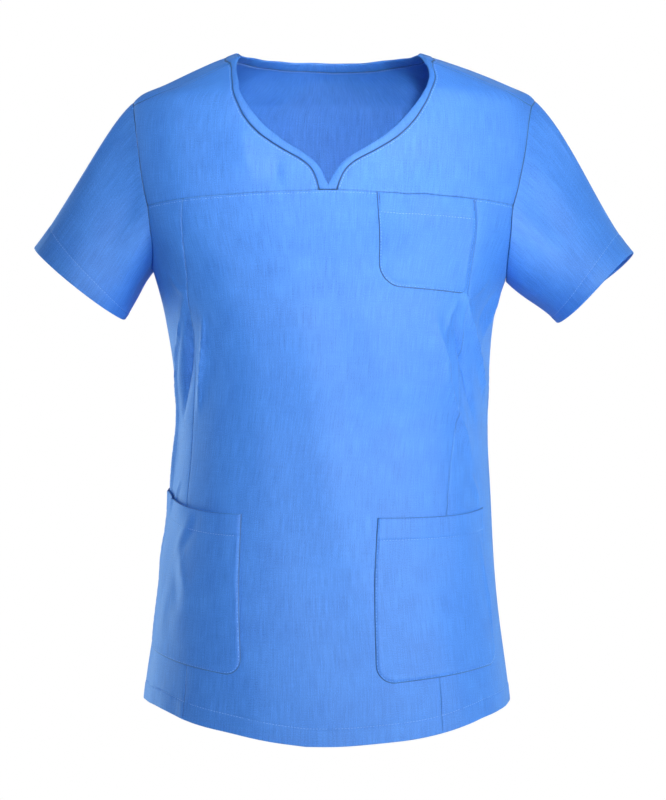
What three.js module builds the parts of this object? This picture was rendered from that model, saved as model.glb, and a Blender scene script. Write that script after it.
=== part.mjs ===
// A scrub top: a hip-length V-neck work tunic with short sleeves, a breast pocket and two hip pockets,
// filled out as on a wearer. Every cut piece is its own thin closed wall.
//
// Millimetres. +X is the wearer's left, -Y is the front, +Z is up. The origin lies midway between
// the middles of the two shoulder ridges, where a wearer carries the top.
//
// A place on the body of the garment is a turn and a height. The turn is in degrees round the body:
// 0 at the centre front, 90 at the left side, 180 at the centre back, -90 at the right side.
import * as THREE from "three";

const WALL = 1.5;
const SEAM_GAP = 0.3;
const HEM_EXTRA = 0.9;
const HEM_STEP = 3;
const BODY_HEM_DEPTH = 17;
const SLEEVE_HEM_DEPTH = 16;
const NECKBAND_WALL = 2;
const NECKBAND_PROUD = 0.4;
const POCKET_CLEAR = 0.55;
const POCKET_WALL = 1.2;
const CHART_MM_PER_DEGREE = 2.9;

// The garment's sections, lowest first. Each is an oval with its own depth in front and behind.
// Fullness swells it towards the corners, shift moves it sideways and turned twists it, in degrees.
const RINGS = table(
  ["height", "half_width", "front", "back", "front_fullness", "back_fullness", "shift", "turned"],
  [
    [-665, 186, 129, 122, 0.18, 0.18, -6, -6],
    [-612, 181, 127, 119, 0.18, 0.18, -6, -6],
    [-548, 173, 124, 113, 0.19, 0.2, -6, -6.8],
    [-484, 165.5, 121, 105, 0.2, 0.2, -4.5, -7.8],
    [-420, 159.5, 118, 97, 0.2, 0.2, -2.5, -7.6],
    [-356, 155, 117, 93, 0.2, 0.2, -1, -5.5],
    [-300, 157, 121, 96, 0.22, 0.2, -1.5, -2.5],
    [-244, 163.5, 124, 102, 0.24, 0.22, -3, -1.5],
    [-200, 176, 116, 107, 0.25, 0.24, -1.5, -1.5],
    [-150, 197, 100, 108, 0.24, 0.24, 0, -1.6],
    [-105, 206, 87, 103, 0.22, 0.22, 0, -1.2],
    [-60, 208, 78, 93, 0.16, 0.16, 0, -0.8],
    [-32, 204, 71, 85, 0.12, 0.12, 1, -0.8],
    [-22, 196, 68.5, 82, 0.1, 0.1, 2, -1],
    [-12, 174, 65, 78, 0.08, 0.08, 3, -1],
    [4, 137.5, 58, 71, 0.05, 0.05, 0.5, -1],
    [12, 117, 53, 66, 0.04, 0.04, -2, -1],
    [23, 87, 46, 60, 0.02, 0.02, -4, -1],
    [45, 62, 36, 50, 0, 0, -4, -1],
  ],
);

// The largest folds of the filled-out cloth, each a straight soft ridge, or a trough where rise is
// negative. width is from its crest to where it has all but faded.
const FOLDS = table(
  ["from_turn", "from_height", "to_turn", "to_height", "width", "rise"],
  [
    [-51, -203, -75, -348, 14, 3.2],
    [-51, -222, -66, -352, 12, -3],
    [-45, -238, -54, -350, 12, 2.4],
    [-72, -322, -74, -425, 15, 2.4],
    [38, -232, 51, -328, 14, 3],
    [47, -292, 72, -396, 14, 3],
    [51, -210, 81, -336, 13, 3],
    [45, -232, 67, -352, 11, -2.8],
    [83, -212, 63, -278, 12, 2.2],
    [24, -48, 25, -126, 20, -1.4],
    [-26, -52, -26, -124, 24, 1.4],
    [112, -232, 97, -352, 18, 3],
    [130, -250, 139, -365, 20, 2.6],
    [157, -150, 167, -330, 30, -3],
    [-112, -236, -98, -346, 18, 3],
    [-131, -246, -141, -370, 20, 2.6],
    [-155, -140, -165, -320, 30, -3],
    [180, -300, 178, -420, 34, 2.6],
  ],
);

// Seams and edges of the wearer's left half, as turn and height. The right half mirrors them.
const NECK_SEAM_FRONT = table(["turn", "height"], [
  [2.3, -122.1],
  [4.1, -104],
  [7.2, -92.5],
  [12.6, -81.5],
  [18.9, -67],
  [23.6, -50],
  [27.6, -29.5],
  [30.2, -20],
  [35, -11.4],
  [40.4, -2.8],
  [45, 3],
  [51, 8],
]);
const NECK_SEAM_BACK = table(["turn", "height"], [
  [51, 8],
  [70, 14.2],
  [90, 18],
  [120, 17],
  [150, 14.3],
  [180, 12],
]);
const NECK_EDGE = table(["turn", "height"], [
  [0, -116.7],
  [2.5, -99.3],
  [5.9, -87.2],
  [10.9, -75.5],
  [16.8, -60.6],
  [22, -42],
  [26.4, -24.9],
  [30, -16],
  [35, -7.4],
  [39.3, -0.9],
  [45.7, 7.1],
  [51.3, 12.3],
  [57, 16.2],
  [70, 18.9],
  [90, 21.8],
  [120, 22],
  [150, 21.6],
  [180, 21],
]);
const SHOULDER_SEAM = table(["turn", "height"], [
  [51, 8],
  [54.5, -7],
  [61, -20.5],
  [68, -28.5],
  [75, -32.5],
]);
const ARMHOLE_YOKE = table(["turn", "height"], [
  [62.8, -133.7],
  [64.2, -105],
  [66.2, -78],
  [68.5, -55],
  [71.5, -42],
  [75, -32.5],
]);
const ARMHOLE_SIDE = table(["turn", "height"], [
  [62.8, -133.7],
  [64.5, -152],
  [68.5, -172],
  [76, -193],
  [83, -202.5],
  [90, -205.5],
]);
const ARMHOLE_BACK = table(["turn", "height"], [
  [90, -205.5],
  [97, -202],
  [104.5, -193],
  [113, -168],
  [116.5, -140],
  [117, -112],
  [115.5, -84],
  [112, -58],
  [107, -39],
  [99, -28.5],
  [90, -25.3],
  [81, -28],
  [75, -32.5],
]);
// How much higher than in the tables each armpit sits, as the top hangs.
const ARMPIT_LIFT = { left: 0, right: 11 };
const ARMPIT_LIFT_FROM = -134;
const ARMPIT_HEIGHT = -205.5;

const PRINCESS_SEAM = table(["turn", "height"], [
  [43, -640],
  [43.3, -585],
  [48, -500],
  [52, -433],
  [53.8, -390],
  [55.5, -350],
  [55.2, -300],
  [54.2, -240],
  [51.4, -200],
  [47.4, -160],
  [44.6, -128],
]);
const HEM_LINE = table(["turn", "height"], [
  [0, -652.5],
  [10, -650.5],
  [22, -646],
  [38, -639.5],
  [45, -635.5],
  [55, -629.5],
  [65, -625.5],
  [77, -623],
  [90, -622],
]);
const HEM_SKEW = 5.5;
const PRINCESS_FOOT_HEIGHT = -640;
const YOKE_CENTRE_HEIGHT = -122;
const YOKE_DROP = 11.7;
const YOKE_CURVE = 1.6;
const BACK_YOKE_END_TURN = 117;
const BACK_YOKE_END_HEIGHT = -112;
const BACK_YOKE_CENTRE_HEIGHT = -127;
const YOKE_END_TURN = 62.8;
const PRINCESS_TOP_TURN = 44.6;
const NECK_POINT_TURN = 2.3;
const SIDE_TURN = 90;

// The sleeves' open ends: the middle of each, its half width across and half depth from front to
// back, the slope of its plane, the droop of its front edge, the wave along it, and how far the cap
// keeps the shoulder's slope.
const CUFFS = table(
  [
    "side", "middle_x", "middle_y", "middle_z", "half_width", "half_depth",
    "slope", "droop", "wave", "cap_reach",
  ],
  [
    [-1, -252.7, -4, -207.8, 57, 47, 38.9, 4.3, 0, 0.62],
    [1, 262, -4, -212.5, 51, 53, 42.2, -1, -2.5, 0.9],
  ],
);
const CUFF_PULL = 0.85;
const CAP_EVENING_ROUNDS = 8;

// The patch pockets. Inner is towards the centre front. Corners are the radii at the bottom.
const POCKETS = table(
  [
    "name", "side", "inner_top", "outer_top", "inner_bottom", "outer_bottom",
    "inner_top_height", "outer_top_height", "inner_bottom_height", "outer_bottom_height",
    "inner_corner", "outer_corner", "top_curve",
  ],
  [
    ["pocket_chest", 1, 13.3, 44.2, 17, 52, -123.6, -129.5, -215, -222, 21, 10, 1],
    ["pocket_left", 1, 24.1, 75.5, 21.3, 76, -436.3, -429, -595, -580, 19, 20, 3],
    ["pocket_right", -1, 24.1, 78, 20.8, 78, -433, -411, -588, -566, 19, 22, 2],
  ],
);

// How many steps each seam is divided into. Pieces that meet share the same steps.
const STEPS = {
  front: 9,
  side_front: 3,
  armhole_side: 6,
  armhole_yoke: 9,
  armhole_back_low: 4,
  armhole_back_high: 6,
  neck_back_half: 10,
  over_shoulder: 5,
  side_seam: 14,
  sleeve: 8,
  pocket_across: 12,
  pocket_corner: 3,
  pocket_above_corner: 7,
};

const RELAX_ROUNDS = 1500;
const AVERAGING_ROUNDS = 500;
const BACK_RELAXED_FROM = 9;
const BACK_YOKE_RELAXED_FROM = 1;

const CLOTH = { blue: 0x5b97e6, roughness: 0.82 };
const BAND_CLOTH = { blue: 0x4f8bdc, roughness: 0.84 };

function table(columns, rows) {
  return rows.map((row) => Object.fromEntries(columns.map((name, i) => [name, row[i]])));
}

// A smooth curve through (x, y) samples that never overshoots them.
function smoothCurve(xs, ys) {
  const last = xs.length - 1;
  const step = xs.slice(1).map((x, i) => x - xs[i]);
  const slope = step.map((h, i) => (ys[i + 1] - ys[i]) / h);
  const tangent = xs.map((x, i) => {
    if (i === 0) return slope[0];
    if (i === last) return slope[last - 1];
    if (slope[i - 1] * slope[i] <= 0) return 0;
    const before = 2 * step[i] + step[i - 1];
    const after = step[i] + 2 * step[i - 1];
    return (before + after) / (before / slope[i - 1] + after / slope[i]);
  });
  return (x) => {
    const at = Math.min(Math.max(x, xs[0]), xs[last]);
    let i = 0;
    while (i < last - 1 && at > xs[i + 1]) i += 1;
    const h = step[i];
    const t = (at - xs[i]) / h;
    const rest = 1 - t;
    return (
      (1 + 2 * t) * rest * rest * ys[i] +
      t * rest * rest * h * tangent[i] +
      t * t * (3 - 2 * t) * ys[i + 1] -
      t * t * rest * h * tangent[i + 1]
    );
  };
}

const ringHeights = RINGS.map((ring) => ring.height);
const ringColumn = (name) => smoothCurve(ringHeights, RINGS.map((ring) => ring[name]));
const RING_AT = {
  halfWidth: ringColumn("half_width"),
  front: ringColumn("front"),
  back: ringColumn("back"),
  frontFullness: ringColumn("front_fullness"),
  backFullness: ringColumn("back_fullness"),
  shift: ringColumn("shift"),
  turned: ringColumn("turned"),
};

// The smooth form without its folds.
function formPoint(turn, height) {
  const angle = THREE.MathUtils.degToRad(turn + RING_AT.turned(height));
  const across = Math.sin(angle);
  const along = Math.cos(angle);
  const inFront = along >= 0;
  const depth = (inFront ? RING_AT.front : RING_AT.back)(height);
  const fullness = (inFront ? RING_AT.frontFullness : RING_AT.backFullness)(height);
  return new THREE.Vector3(
    RING_AT.shift(height) + RING_AT.halfWidth(height) * across,
    -depth * along * (1 + fullness * across * across),
    height,
  );
}

function formNormal(turn, height) {
  const turnStep = 0.2;
  const heightStep = 0.4;
  const round = formPoint(turn + turnStep, height).sub(formPoint(turn - turnStep, height));
  const up = formPoint(turn, height + heightStep).sub(formPoint(turn, height - heightStep));
  return round.cross(up).normalize();
}

function wrapTurn(turn) {
  return turn - 360 * Math.round(turn / 360);
}

// How far the folds lift the cloth at a place: each fades over its width and towards both ends.
const FOLD_SIDE_FADE = 2.5;
const FOLD_END_FADE = 1.5;
function foldRise(turn, height) {
  let total = 0;
  for (const fold of FOLDS) {
    const alongX = (fold.to_turn - fold.from_turn) * CHART_MM_PER_DEGREE;
    const alongZ = fold.to_height - fold.from_height;
    const length = Math.hypot(alongX, alongZ);
    const x = wrapTurn(turn - fold.from_turn) * CHART_MM_PER_DEGREE;
    const z = height - fold.from_height;
    const along = (x * alongX + z * alongZ) / (length * length);
    if (along <= 0 || along >= 1) continue;
    const away = (x * alongZ - z * alongX) / length / fold.width;
    const fade = Math.exp(-FOLD_SIDE_FADE * away * away) * Math.sin(Math.PI * along) ** FOLD_END_FADE;
    total += fold.rise * fade;
  }
  return total;
}

// A point on the cloth's outer face and the direction that points out of it.
function clothAt(turn, height) {
  const normal = formNormal(turn, height);
  const point = formPoint(turn, height).addScaledVector(normal, foldRise(turn, height));
  return { point, normal };
}

function hemHeight(turn) {
  const wrapped = Math.abs(wrapTurn(turn));
  const fromMiddle = Math.min(wrapped, 180 - wrapped);
  const line = HEM_CURVE(fromMiddle);
  return line - HEM_SKEW * Math.sin(THREE.MathUtils.degToRad(2 * wrapTurn(turn)));
}
const HEM_CURVE = smoothCurve(HEM_LINE.map((row) => row.turn), HEM_LINE.map((row) => row.height));

function yokeHeight(turn) {
  return YOKE_CENTRE_HEIGHT - YOKE_DROP * (Math.abs(turn) / YOKE_END_TURN) ** YOKE_CURVE;
}

// The back yoke seam dips a little towards the middle of the back.
function backYokeHeight(turn) {
  const fromMiddle = (180 - turn) / (180 - BACK_YOKE_END_TURN);
  return BACK_YOKE_CENTRE_HEIGHT + (BACK_YOKE_END_HEIGHT - BACK_YOKE_CENTRE_HEIGHT) * fromMiddle ** 2;
}

// A seam is a list of chart places: x is the turn in millimetres round a mean section, y the height.
const place = (turn, height) => new THREE.Vector2(turn * CHART_MM_PER_DEGREE, height);
const turnOf = (chart) => chart.x / CHART_MM_PER_DEGREE;
const evenSteps = (count) => Array.from({ length: count + 1 }, (unused, i) => i / count);

function alongTable(rows, fractions) {
  const curve = new THREE.SplineCurve(rows.map((row) => place(row.turn, row.height)));
  curve.arcLengthDivisions = 400;
  return fractions.map((fraction) => curve.getPointAt(fraction));
}

function alongTurns(fromTurn, toTurn, heightAt, count) {
  return evenSteps(count).map((fraction) => {
    const turn = fromTurn + (toTurn - fromTurn) * fraction;
    return place(turn, heightAt(turn));
  });
}

const mirrored = (seam) => seam.map((chart) => new THREE.Vector2(-chart.x, chart.y));
const roundTheBack = (seam) =>
  seam.map((chart) => new THREE.Vector2(360 * CHART_MM_PER_DEGREE - chart.x, chart.y));
const reversed = (seam) => [...seam].reverse();
const joined = (...seams) =>
  seams.reduce((all, seam) => all.concat(all.length ? seam.slice(1) : seam), []);

// Steps up the side and princess seams: the lowest two mark the turned-up hem's own height.
const SIDE_LENGTH = 420;
const HEM_FRACTION = BODY_HEM_DEPTH / SIDE_LENGTH;
const HEM_STEP_FRACTION = HEM_STEP / SIDE_LENGTH;
const SIDE_FRACTIONS = [
  0,
  HEM_FRACTION,
  ...evenSteps(STEPS.side_seam).map(
    (step) => HEM_FRACTION + HEM_STEP_FRACTION + step * (1 - HEM_FRACTION - HEM_STEP_FRACTION),
  ),
];
const HEM_ROWS = 2;

function upSeam(turnAt, top, side) {
  const bottomTurn = turnAt(PRINCESS_FOOT_HEIGHT);
  const bottom = place(bottomTurn, hemHeight(side * bottomTurn));
  return SIDE_FRACTIONS.map((fraction) => {
    const height = bottom.y + (top - bottom.y) * fraction;
    return place(turnAt(height), height);
  });
}
const PRINCESS_TURN = smoothCurve(
  PRINCESS_SEAM.map((row) => row.height),
  PRINCESS_SEAM.map((row) => row.turn),
);

const yokeInner = alongTurns(NECK_POINT_TURN, PRINCESS_TOP_TURN, yokeHeight, STEPS.front);
const yokeOuter = alongTurns(PRINCESS_TOP_TURN, YOKE_END_TURN, yokeHeight, STEPS.side_front);
const armpitLift = (side) => (side > 0 ? ARMPIT_LIFT.left : ARMPIT_LIFT.right);
const lifted = (rows, side) =>
  rows.map(({ turn, height }) => {
    const share = Math.max(0, (ARMPIT_LIFT_FROM - height) / (ARMPIT_LIFT_FROM - ARMPIT_HEIGHT));
    return { turn, height: height + armpitLift(side) * share * share };
  });
const armholeSide = (side) => alongTable(lifted(ARMHOLE_SIDE, side), evenSteps(STEPS.armhole_side));
const backYokeRow = ARMHOLE_BACK.findIndex((row) => row.height === BACK_YOKE_END_HEIGHT);
const armholeBackLow = (side) =>
  alongTable(lifted(ARMHOLE_BACK.slice(0, backYokeRow + 1), side), evenSteps(STEPS.armhole_back_low));
const armholeBackHigh = alongTable(ARMHOLE_BACK.slice(backYokeRow), evenSteps(STEPS.armhole_back_high));
const armholeBack = (side) => joined(armholeBackLow(side), armholeBackHigh);
const armholeYoke = alongTable(ARMHOLE_YOKE, evenSteps(STEPS.armhole_yoke));
const shoulder = alongTable(SHOULDER_SEAM, evenSteps(STEPS.front + STEPS.side_front));
const neckFront = alongTable(NECK_SEAM_FRONT, evenSteps(STEPS.armhole_yoke));
const neckBack = alongTable(NECK_SEAM_BACK, evenSteps(STEPS.neck_back_half));
const princess = (side) => upSeam(PRINCESS_TURN, yokeHeight(PRINCESS_TOP_TURN), side);
const sideSeam = (side) => upSeam(() => SIDE_TURN, ARMPIT_HEIGHT + armpitLift(side), side);

// Fills the space between four seams with rows of chart places.
function patch(bottom, top, left, right) {
  const across = meanFractions(bottom, top);
  const up = meanFractions(left, right);
  const [corner00, corner10] = [bottom[0], bottom[bottom.length - 1]];
  const [corner01, corner11] = [top[0], top[top.length - 1]];
  return up.map((t, row) =>
    across.map((s, column) => {
      const chart = new THREE.Vector2();
      chart.addScaledVector(bottom[column], 1 - t).addScaledVector(top[column], t);
      chart.addScaledVector(left[row], 1 - s).addScaledVector(right[row], s);
      chart.addScaledVector(corner00, -(1 - s) * (1 - t)).addScaledVector(corner10, -s * (1 - t));
      chart.addScaledVector(corner01, -(1 - s) * t).addScaledVector(corner11, -s * t);
      return chart;
    }),
  );
}

// Evens out a patch above a row, its edges held, so that no cell folds over in a sharp corner. The
// first rounds only average neighbours; the rest also keep the lines from crowding.
function relaxed(patchRows, firstRow) {
  const grid = patchRows.map((line) => line.map((chart) => chart.clone()));
  for (let round = 0; round < RELAX_ROUNDS; round += 1) {
    const averaging = round < AVERAGING_ROUNDS;
    for (let row = firstRow; row < grid.length - 1; row += 1) {
      for (let column = 1; column < grid[0].length - 1; column += 1) {
        const [west, east] = [grid[row][column - 1], grid[row][column + 1]];
        const [south, north] = [grid[row - 1][column], grid[row + 1][column]];
        const across = east.clone().sub(west);
        const up = north.clone().sub(south);
        const diagonal = grid[row + 1][column + 1].clone().add(grid[row - 1][column - 1]);
        diagonal.sub(grid[row + 1][column - 1]).sub(grid[row - 1][column + 1]);
        const acrossWeight = averaging ? 1 : up.lengthSq();
        const upWeight = averaging ? 1 : across.lengthSq();
        const settled = east.clone().add(west).multiplyScalar(acrossWeight);
        settled.addScaledVector(north, upWeight).addScaledVector(south, upWeight);
        settled.addScaledVector(diagonal, averaging ? 0 : -across.dot(up) / 2);
        grid[row][column] = settled.divideScalar(2 * (acrossWeight + upWeight));
      }
    }
  }
  return grid;
}

function fractionsOf(seam) {
  const lengths = [0];
  for (let i = 1; i < seam.length; i += 1) {
    lengths.push(lengths[i - 1] + seam[i].distanceTo(seam[i - 1]));
  }
  return lengths.map((length) => length / lengths[lengths.length - 1]);
}

function meanFractions(first, second) {
  const other = fractionsOf(second);
  return fractionsOf(first).map((value, i) => (value + other[i]) / 2);
}

// Draws the edge of a grid of points in by half the seam gap.
function drawIn(grid, closedRound) {
  const rows = grid.length - 1;
  const count = grid[0].length;
  const pointAt = (row, column) => grid[row][column].point;
  const sideways = (column, step) =>
    closedRound ? (column + step + count) % count : Math.min(Math.max(column + step, 0), count - 1);
  const inset = (point, neighbour, before, after) => {
    const along = after.clone().sub(before).normalize();
    const inward = neighbour.clone().sub(point);
    return inward.addScaledVector(along, -inward.dot(along)).setLength(SEAM_GAP / 2);
  };
  return grid.map((line, row) =>
    line.map((cell, column) => {
      const point = cell.point.clone();
      if (row === 0 || row === rows) {
        const neighbour = pointAt(row === 0 ? 1 : rows - 1, column);
        const [before, after] = [-1, 1].map((step) => pointAt(row, sideways(column, step)));
        point.add(inset(cell.point, neighbour, before, after));
      }
      if (!closedRound && (column === 0 || column === count - 1)) {
        const neighbour = pointAt(row, column === 0 ? 1 : count - 2);
        const before = pointAt(Math.max(row - 1, 0), column);
        const after = pointAt(Math.min(row + 1, rows), column);
        point.add(inset(cell.point, neighbour, before, after));
      }
      return { ...cell, point };
    }),
  );
}

// Turns a grid of outer points, normals and wall thicknesses into one closed wall. Each cell is split
// across its shorter diagonal, unless a triangle would then face in. A grid that closes round itself
// leaves its last column out.
function wallGeometry(grid, closedRound = false) {
  const rows = grid.length;
  const columns = grid[0].length;
  const count = rows * columns;
  const positions = new Float32Array(count * 6);
  grid.forEach((line, row) =>
    line.forEach(({ point, normal, wall }, column) => {
      const index = row * columns + column;
      point.toArray(positions, index * 3);
      point.clone().addScaledVector(normal, -wall).toArray(positions, (count + index) * 3);
    }),
  );
  const faces = [];
  const quad = (a, b, c, d) => faces.push(a, b, c, a, c, d);
  const last = closedRound ? columns : columns - 1;
  for (let row = 0; row < rows - 1; row += 1) {
    for (let column = 0; column < last; column += 1) {
      const next = (column + 1) % columns;
      const [a, b] = [row * columns + column, row * columns + next];
      const [c, d] = [b + columns, a + columns];
      const corners = [grid[row][column], grid[row][next], grid[row + 1][next], grid[row + 1][column]];
      if (splitsRising(corners)) {
        quad(a, b, c, d);
        quad(count + a, count + d, count + c, count + b);
      } else {
        quad(b, c, d, a);
        quad(count + b, count + a, count + d, count + c);
      }
    }
  }
  const topRow = (rows - 1) * columns;
  for (let column = 0; column < last; column += 1) {
    const next = (column + 1) % columns;
    quad(column, count + column, count + next, next);
    quad(topRow + column, topRow + next, count + topRow + next, count + topRow + column);
  }
  for (let row = 0; !closedRound && row < rows - 1; row += 1) {
    const a = row * columns;
    const b = a + columns - 1;
    quad(a, a + columns, count + a + columns, count + a);
    quad(b, count + b, count + b + columns, b + columns);
  }
  const geometry = new THREE.BufferGeometry();
  geometry.setAttribute("position", new THREE.BufferAttribute(positions, 3));
  geometry.setIndex(faces);
  geometry.computeVertexNormals();
  return geometry;
}

// Whether a cell, its corners taken round from the lower left, is split from lower left to upper right.
function splitsRising([a, b, c, d]) {
  const facesOut = (first, second, third) => {
    const along = second.point.clone().sub(first.point);
    return along.cross(third.point.clone().sub(first.point)).dot(first.normal) > 0;
  };
  const isShorter = a.point.distanceTo(c.point) <= b.point.distanceTo(d.point);
  return isShorter ? facesOut(a, b, c) && facesOut(a, c, d) : !(facesOut(b, c, d) && facesOut(b, d, a));
}

function clothMaterial({ blue, roughness }) {
  return new THREE.MeshStandardMaterial({ color: blue, roughness, metalness: 0, side: THREE.DoubleSide });
}

function piece(name, geometry, finish = CLOTH) {
  const mesh = new THREE.Mesh(geometry, clothMaterial(finish));
  mesh.name = name;
  return mesh;
}

// A panel of the body, over its rows of chart places. A hem's rows are thicker.
function panelGrid(rows, hemRows) {
  return rows.map((line, row) =>
    line.map((chart) => ({
      ...clothAt(turnOf(chart), chart.y),
      wall: WALL + (row < hemRows ? HEM_EXTRA : 0),
    })),
  );
}

function panel(name, bottom, top, left, right, hemRows = 0) {
  const grid = panelGrid(patch(bottom, top, left, right), hemRows);
  return piece(name, wallGeometry(drawIn(grid)));
}

function makeFrontCentre() {
  const underNotch = alongTurns(-NECK_POINT_TURN, NECK_POINT_TURN, yokeHeight, 2);
  const top = joined(mirrored(reversed(yokeInner)), underNotch, yokeInner);
  const [right, left] = [princess(-1), princess(1)];
  const reach = turnOf(left[0]);
  const bottom = alongTurns(-reach, reach, hemHeight, top.length - 1);
  return panel("front_centre", bottom, top, mirrored(right), left, HEM_ROWS);
}

function makeFrontSide(name, side) {
  const top = joined(yokeOuter, armholeSide(side));
  const inner = princess(side);
  const outer = sideSeam(side);
  const bottom = alongTurns(turnOf(inner[0]), SIDE_TURN, (turn) => hemHeight(side * turn), top.length - 1);
  if (side > 0) return panel(name, bottom, top, inner, outer, HEM_ROWS);
  return panel(
    name,
    mirrored(reversed(bottom)),
    mirrored(reversed(top)),
    mirrored(outer),
    mirrored(inner),
    HEM_ROWS,
  );
}

function makeYoke(name, side) {
  const bottom = joined(yokeInner, yokeOuter);
  if (side > 0) return panel(name, bottom, shoulder, neckFront, armholeYoke);
  return panel(
    name,
    mirrored(reversed(bottom)),
    mirrored(reversed(shoulder)),
    mirrored(armholeYoke),
    mirrored(neckFront),
  );
}

// The back yoke's top edge: shoulder seam, back neck, shoulder seam.
const backTop = joined(
  reversed(shoulder),
  neckBack,
  roundTheBack(reversed(neckBack)),
  roundTheBack(shoulder),
);
const backColumns = backTop.length - 1;
const backYokeSeam = alongTurns(
  BACK_YOKE_END_TURN,
  360 - BACK_YOKE_END_TURN,
  backYokeHeight,
  backColumns,
);

function makeBack() {
  const left = joined(sideSeam(1), armholeBackLow(1));
  const right = roundTheBack(joined(sideSeam(-1), armholeBackLow(-1)));
  const bottom = alongTurns(SIDE_TURN, 360 - SIDE_TURN, hemHeight, backColumns);
  const rows = relaxed(patch(bottom, backYokeSeam, left, right), BACK_RELAXED_FROM);
  return piece("back", wallGeometry(drawIn(panelGrid(rows, HEM_ROWS))));
}

// The yoke runs over the shoulders in long cells, so its highest row is divided to follow the form.
function makeBackYoke() {
  const sides = [armholeBackHigh, roundTheBack(armholeBackHigh)];
  const rows = relaxed(patch(backYokeSeam, backTop, ...sides), BACK_YOKE_RELAXED_FROM);
  const [highest, below] = [rows[rows.length - 1], rows[rows.length - 2]];
  const shares = evenSteps(STEPS.over_shoulder).slice(1, -1);
  const between = shares.map((share) => below.map((chart, i) => chart.clone().lerp(highest[i], share)));
  const grid = panelGrid([...rows.slice(0, -1), ...between, highest], 0);
  // The added rows end on the straight lines where the sleeves' edges are.
  for (const column of [0, highest.length - 1]) {
    const [from, to] = [rows.length - 2, grid.length - 1].map((row) => grid[row][column].point);
    shares.forEach((share, i) => grid[rows.length - 1 + i][column].point.lerpVectors(from, to, share));
  }
  return piece("back_yoke", wallGeometry(drawIn(grid)));
}

// The neckband runs from the notch up the left front, round the back of the neck and down the right.
function makeNeckband() {
  const half = joined([place(0, yokeHeight(0)), neckFront[0]], neckFront, neckBack);
  const edge = alongTable(NECK_EDGE, fractionsOf(half));
  const seam = joined(half, roundTheBack(reversed(half)));
  const inner = joined(edge, roundTheBack(reversed(edge)));
  const grid = [seam, inner].map((line) =>
    line.map((chart) => {
      const { point, normal } = clothAt(turnOf(chart), chart.y);
      return { point: point.addScaledVector(normal, NECKBAND_PROUD), normal, wall: NECKBAND_WALL };
    }),
  );
  return piece("neckband", wallGeometry(drawIn(grid)), BAND_CLOTH);
}

// How far round its ring each armhole point is, as an angle: 0 on the shoulder, 180 in the armpit,
// positive in front and negative behind.
function ringAngles(points) {
  const heights = points.map((point) => point.z);
  const top = heights.indexOf(Math.max(...heights));
  const bottom = heights.indexOf(Math.min(...heights));
  const count = points.length;
  const angles = new Array(count);
  for (const step of [1, -1]) {
    const lengths = [0];
    const indices = [top];
    for (let i = top; i !== bottom; ) {
      const next = (i + step + count) % count;
      lengths.push(lengths[lengths.length - 1] + points[next].distanceTo(points[i]));
      indices.push(next);
      i = next;
    }
    const whole = lengths[lengths.length - 1];
    indices.forEach((index, i) => {
      angles[index] = (step * Math.PI * lengths[i]) / whole;
    });
  }
  return angles;
}

// Evens out directions round a ring.
function evenedRound(directions) {
  const count = directions.length;
  let even = directions;
  for (let round = 0; round < CAP_EVENING_ROUNDS; round += 1) {
    even = even.map((direction, i) =>
      direction.clone().add(even[(i + 1) % count]).add(even[(i + count - 1) % count]).normalize(),
    );
  }
  return even;
}

// A sleeve runs from the armhole to its open end. It leaves the shoulder along the slope of the
// cloth, and the underarm straight along the sleeve.
function sleeveGrid(cuff) {
  const whole = joined(reversed(armholeYoke), armholeSide(cuff.side), armholeBack(cuff.side));
  const ring = whole.slice(0, -1);
  const armhole = ring.map((chart) => clothAt(cuff.side * turnOf(chart), chart.y));
  const angles = ringAngles(armhole.map(({ point }) => point));
  const slope = THREE.MathUtils.degToRad(cuff.slope);
  const across = new THREE.Vector3(cuff.side * Math.cos(slope), 0, Math.sin(slope));
  const axis = new THREE.Vector3(cuff.side * Math.sin(slope), 0, -Math.cos(slope));
  const forward = new THREE.Vector3(0, -1, 0);
  const middle = new THREE.Vector3(cuff.middle_x, cuff.middle_y, cuff.middle_z);
  const count = ring.length;
  const leaving = armhole.map(({ normal }, i) => {
    const along = armhole[(i + 1) % count].point.clone().sub(armhole[(i + count - 1) % count].point);
    return along.cross(normal).multiplyScalar(-cuff.side).normalize();
  });
  const outward = evenedRound(leaving);
  const lines = armhole.map(({ point }, i) => {
    const angle = angles[i];
    const end = middle.clone().addScaledVector(across, cuff.half_width * Math.cos(angle));
    end.addScaledVector(forward, cuff.half_depth * Math.sin(angle));
    end.addScaledVector(axis, cuff.droop * Math.sin(angle) + cuff.wave * Math.sin(2 * angle));
    const flare = (1 + Math.cos(angle)) / 2;
    const length = point.distanceTo(end);
    const reach = length * (1 - (1 - cuff.cap_reach) * flare);
    const start = axis.clone().lerp(outward[i], flare).setLength(reach);
    const finish = axis.clone().multiplyScalar(length * CUFF_PULL);
    return { point, end, start, finish, length };
  });
  const rows = sleeveRows(lines);
  const ordered = cuff.side > 0 ? rows : rows.map((row) => reversed(row));
  return ordered.map((row, r) =>
    row.map((point, i) => {
      const round = row[(i + 1) % count].clone().sub(row[(i + count - 1) % count]);
      const [below, above] = [Math.max(r - 1, 0), Math.min(r + 1, ordered.length - 1)];
      const down = ordered[above][i].clone().sub(ordered[below][i]);
      const normal = round.cross(down).normalize();
      return { point, normal, wall: WALL + (r >= ordered.length - 2 ? HEM_EXTRA : 0) };
    }),
  );
}

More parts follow.
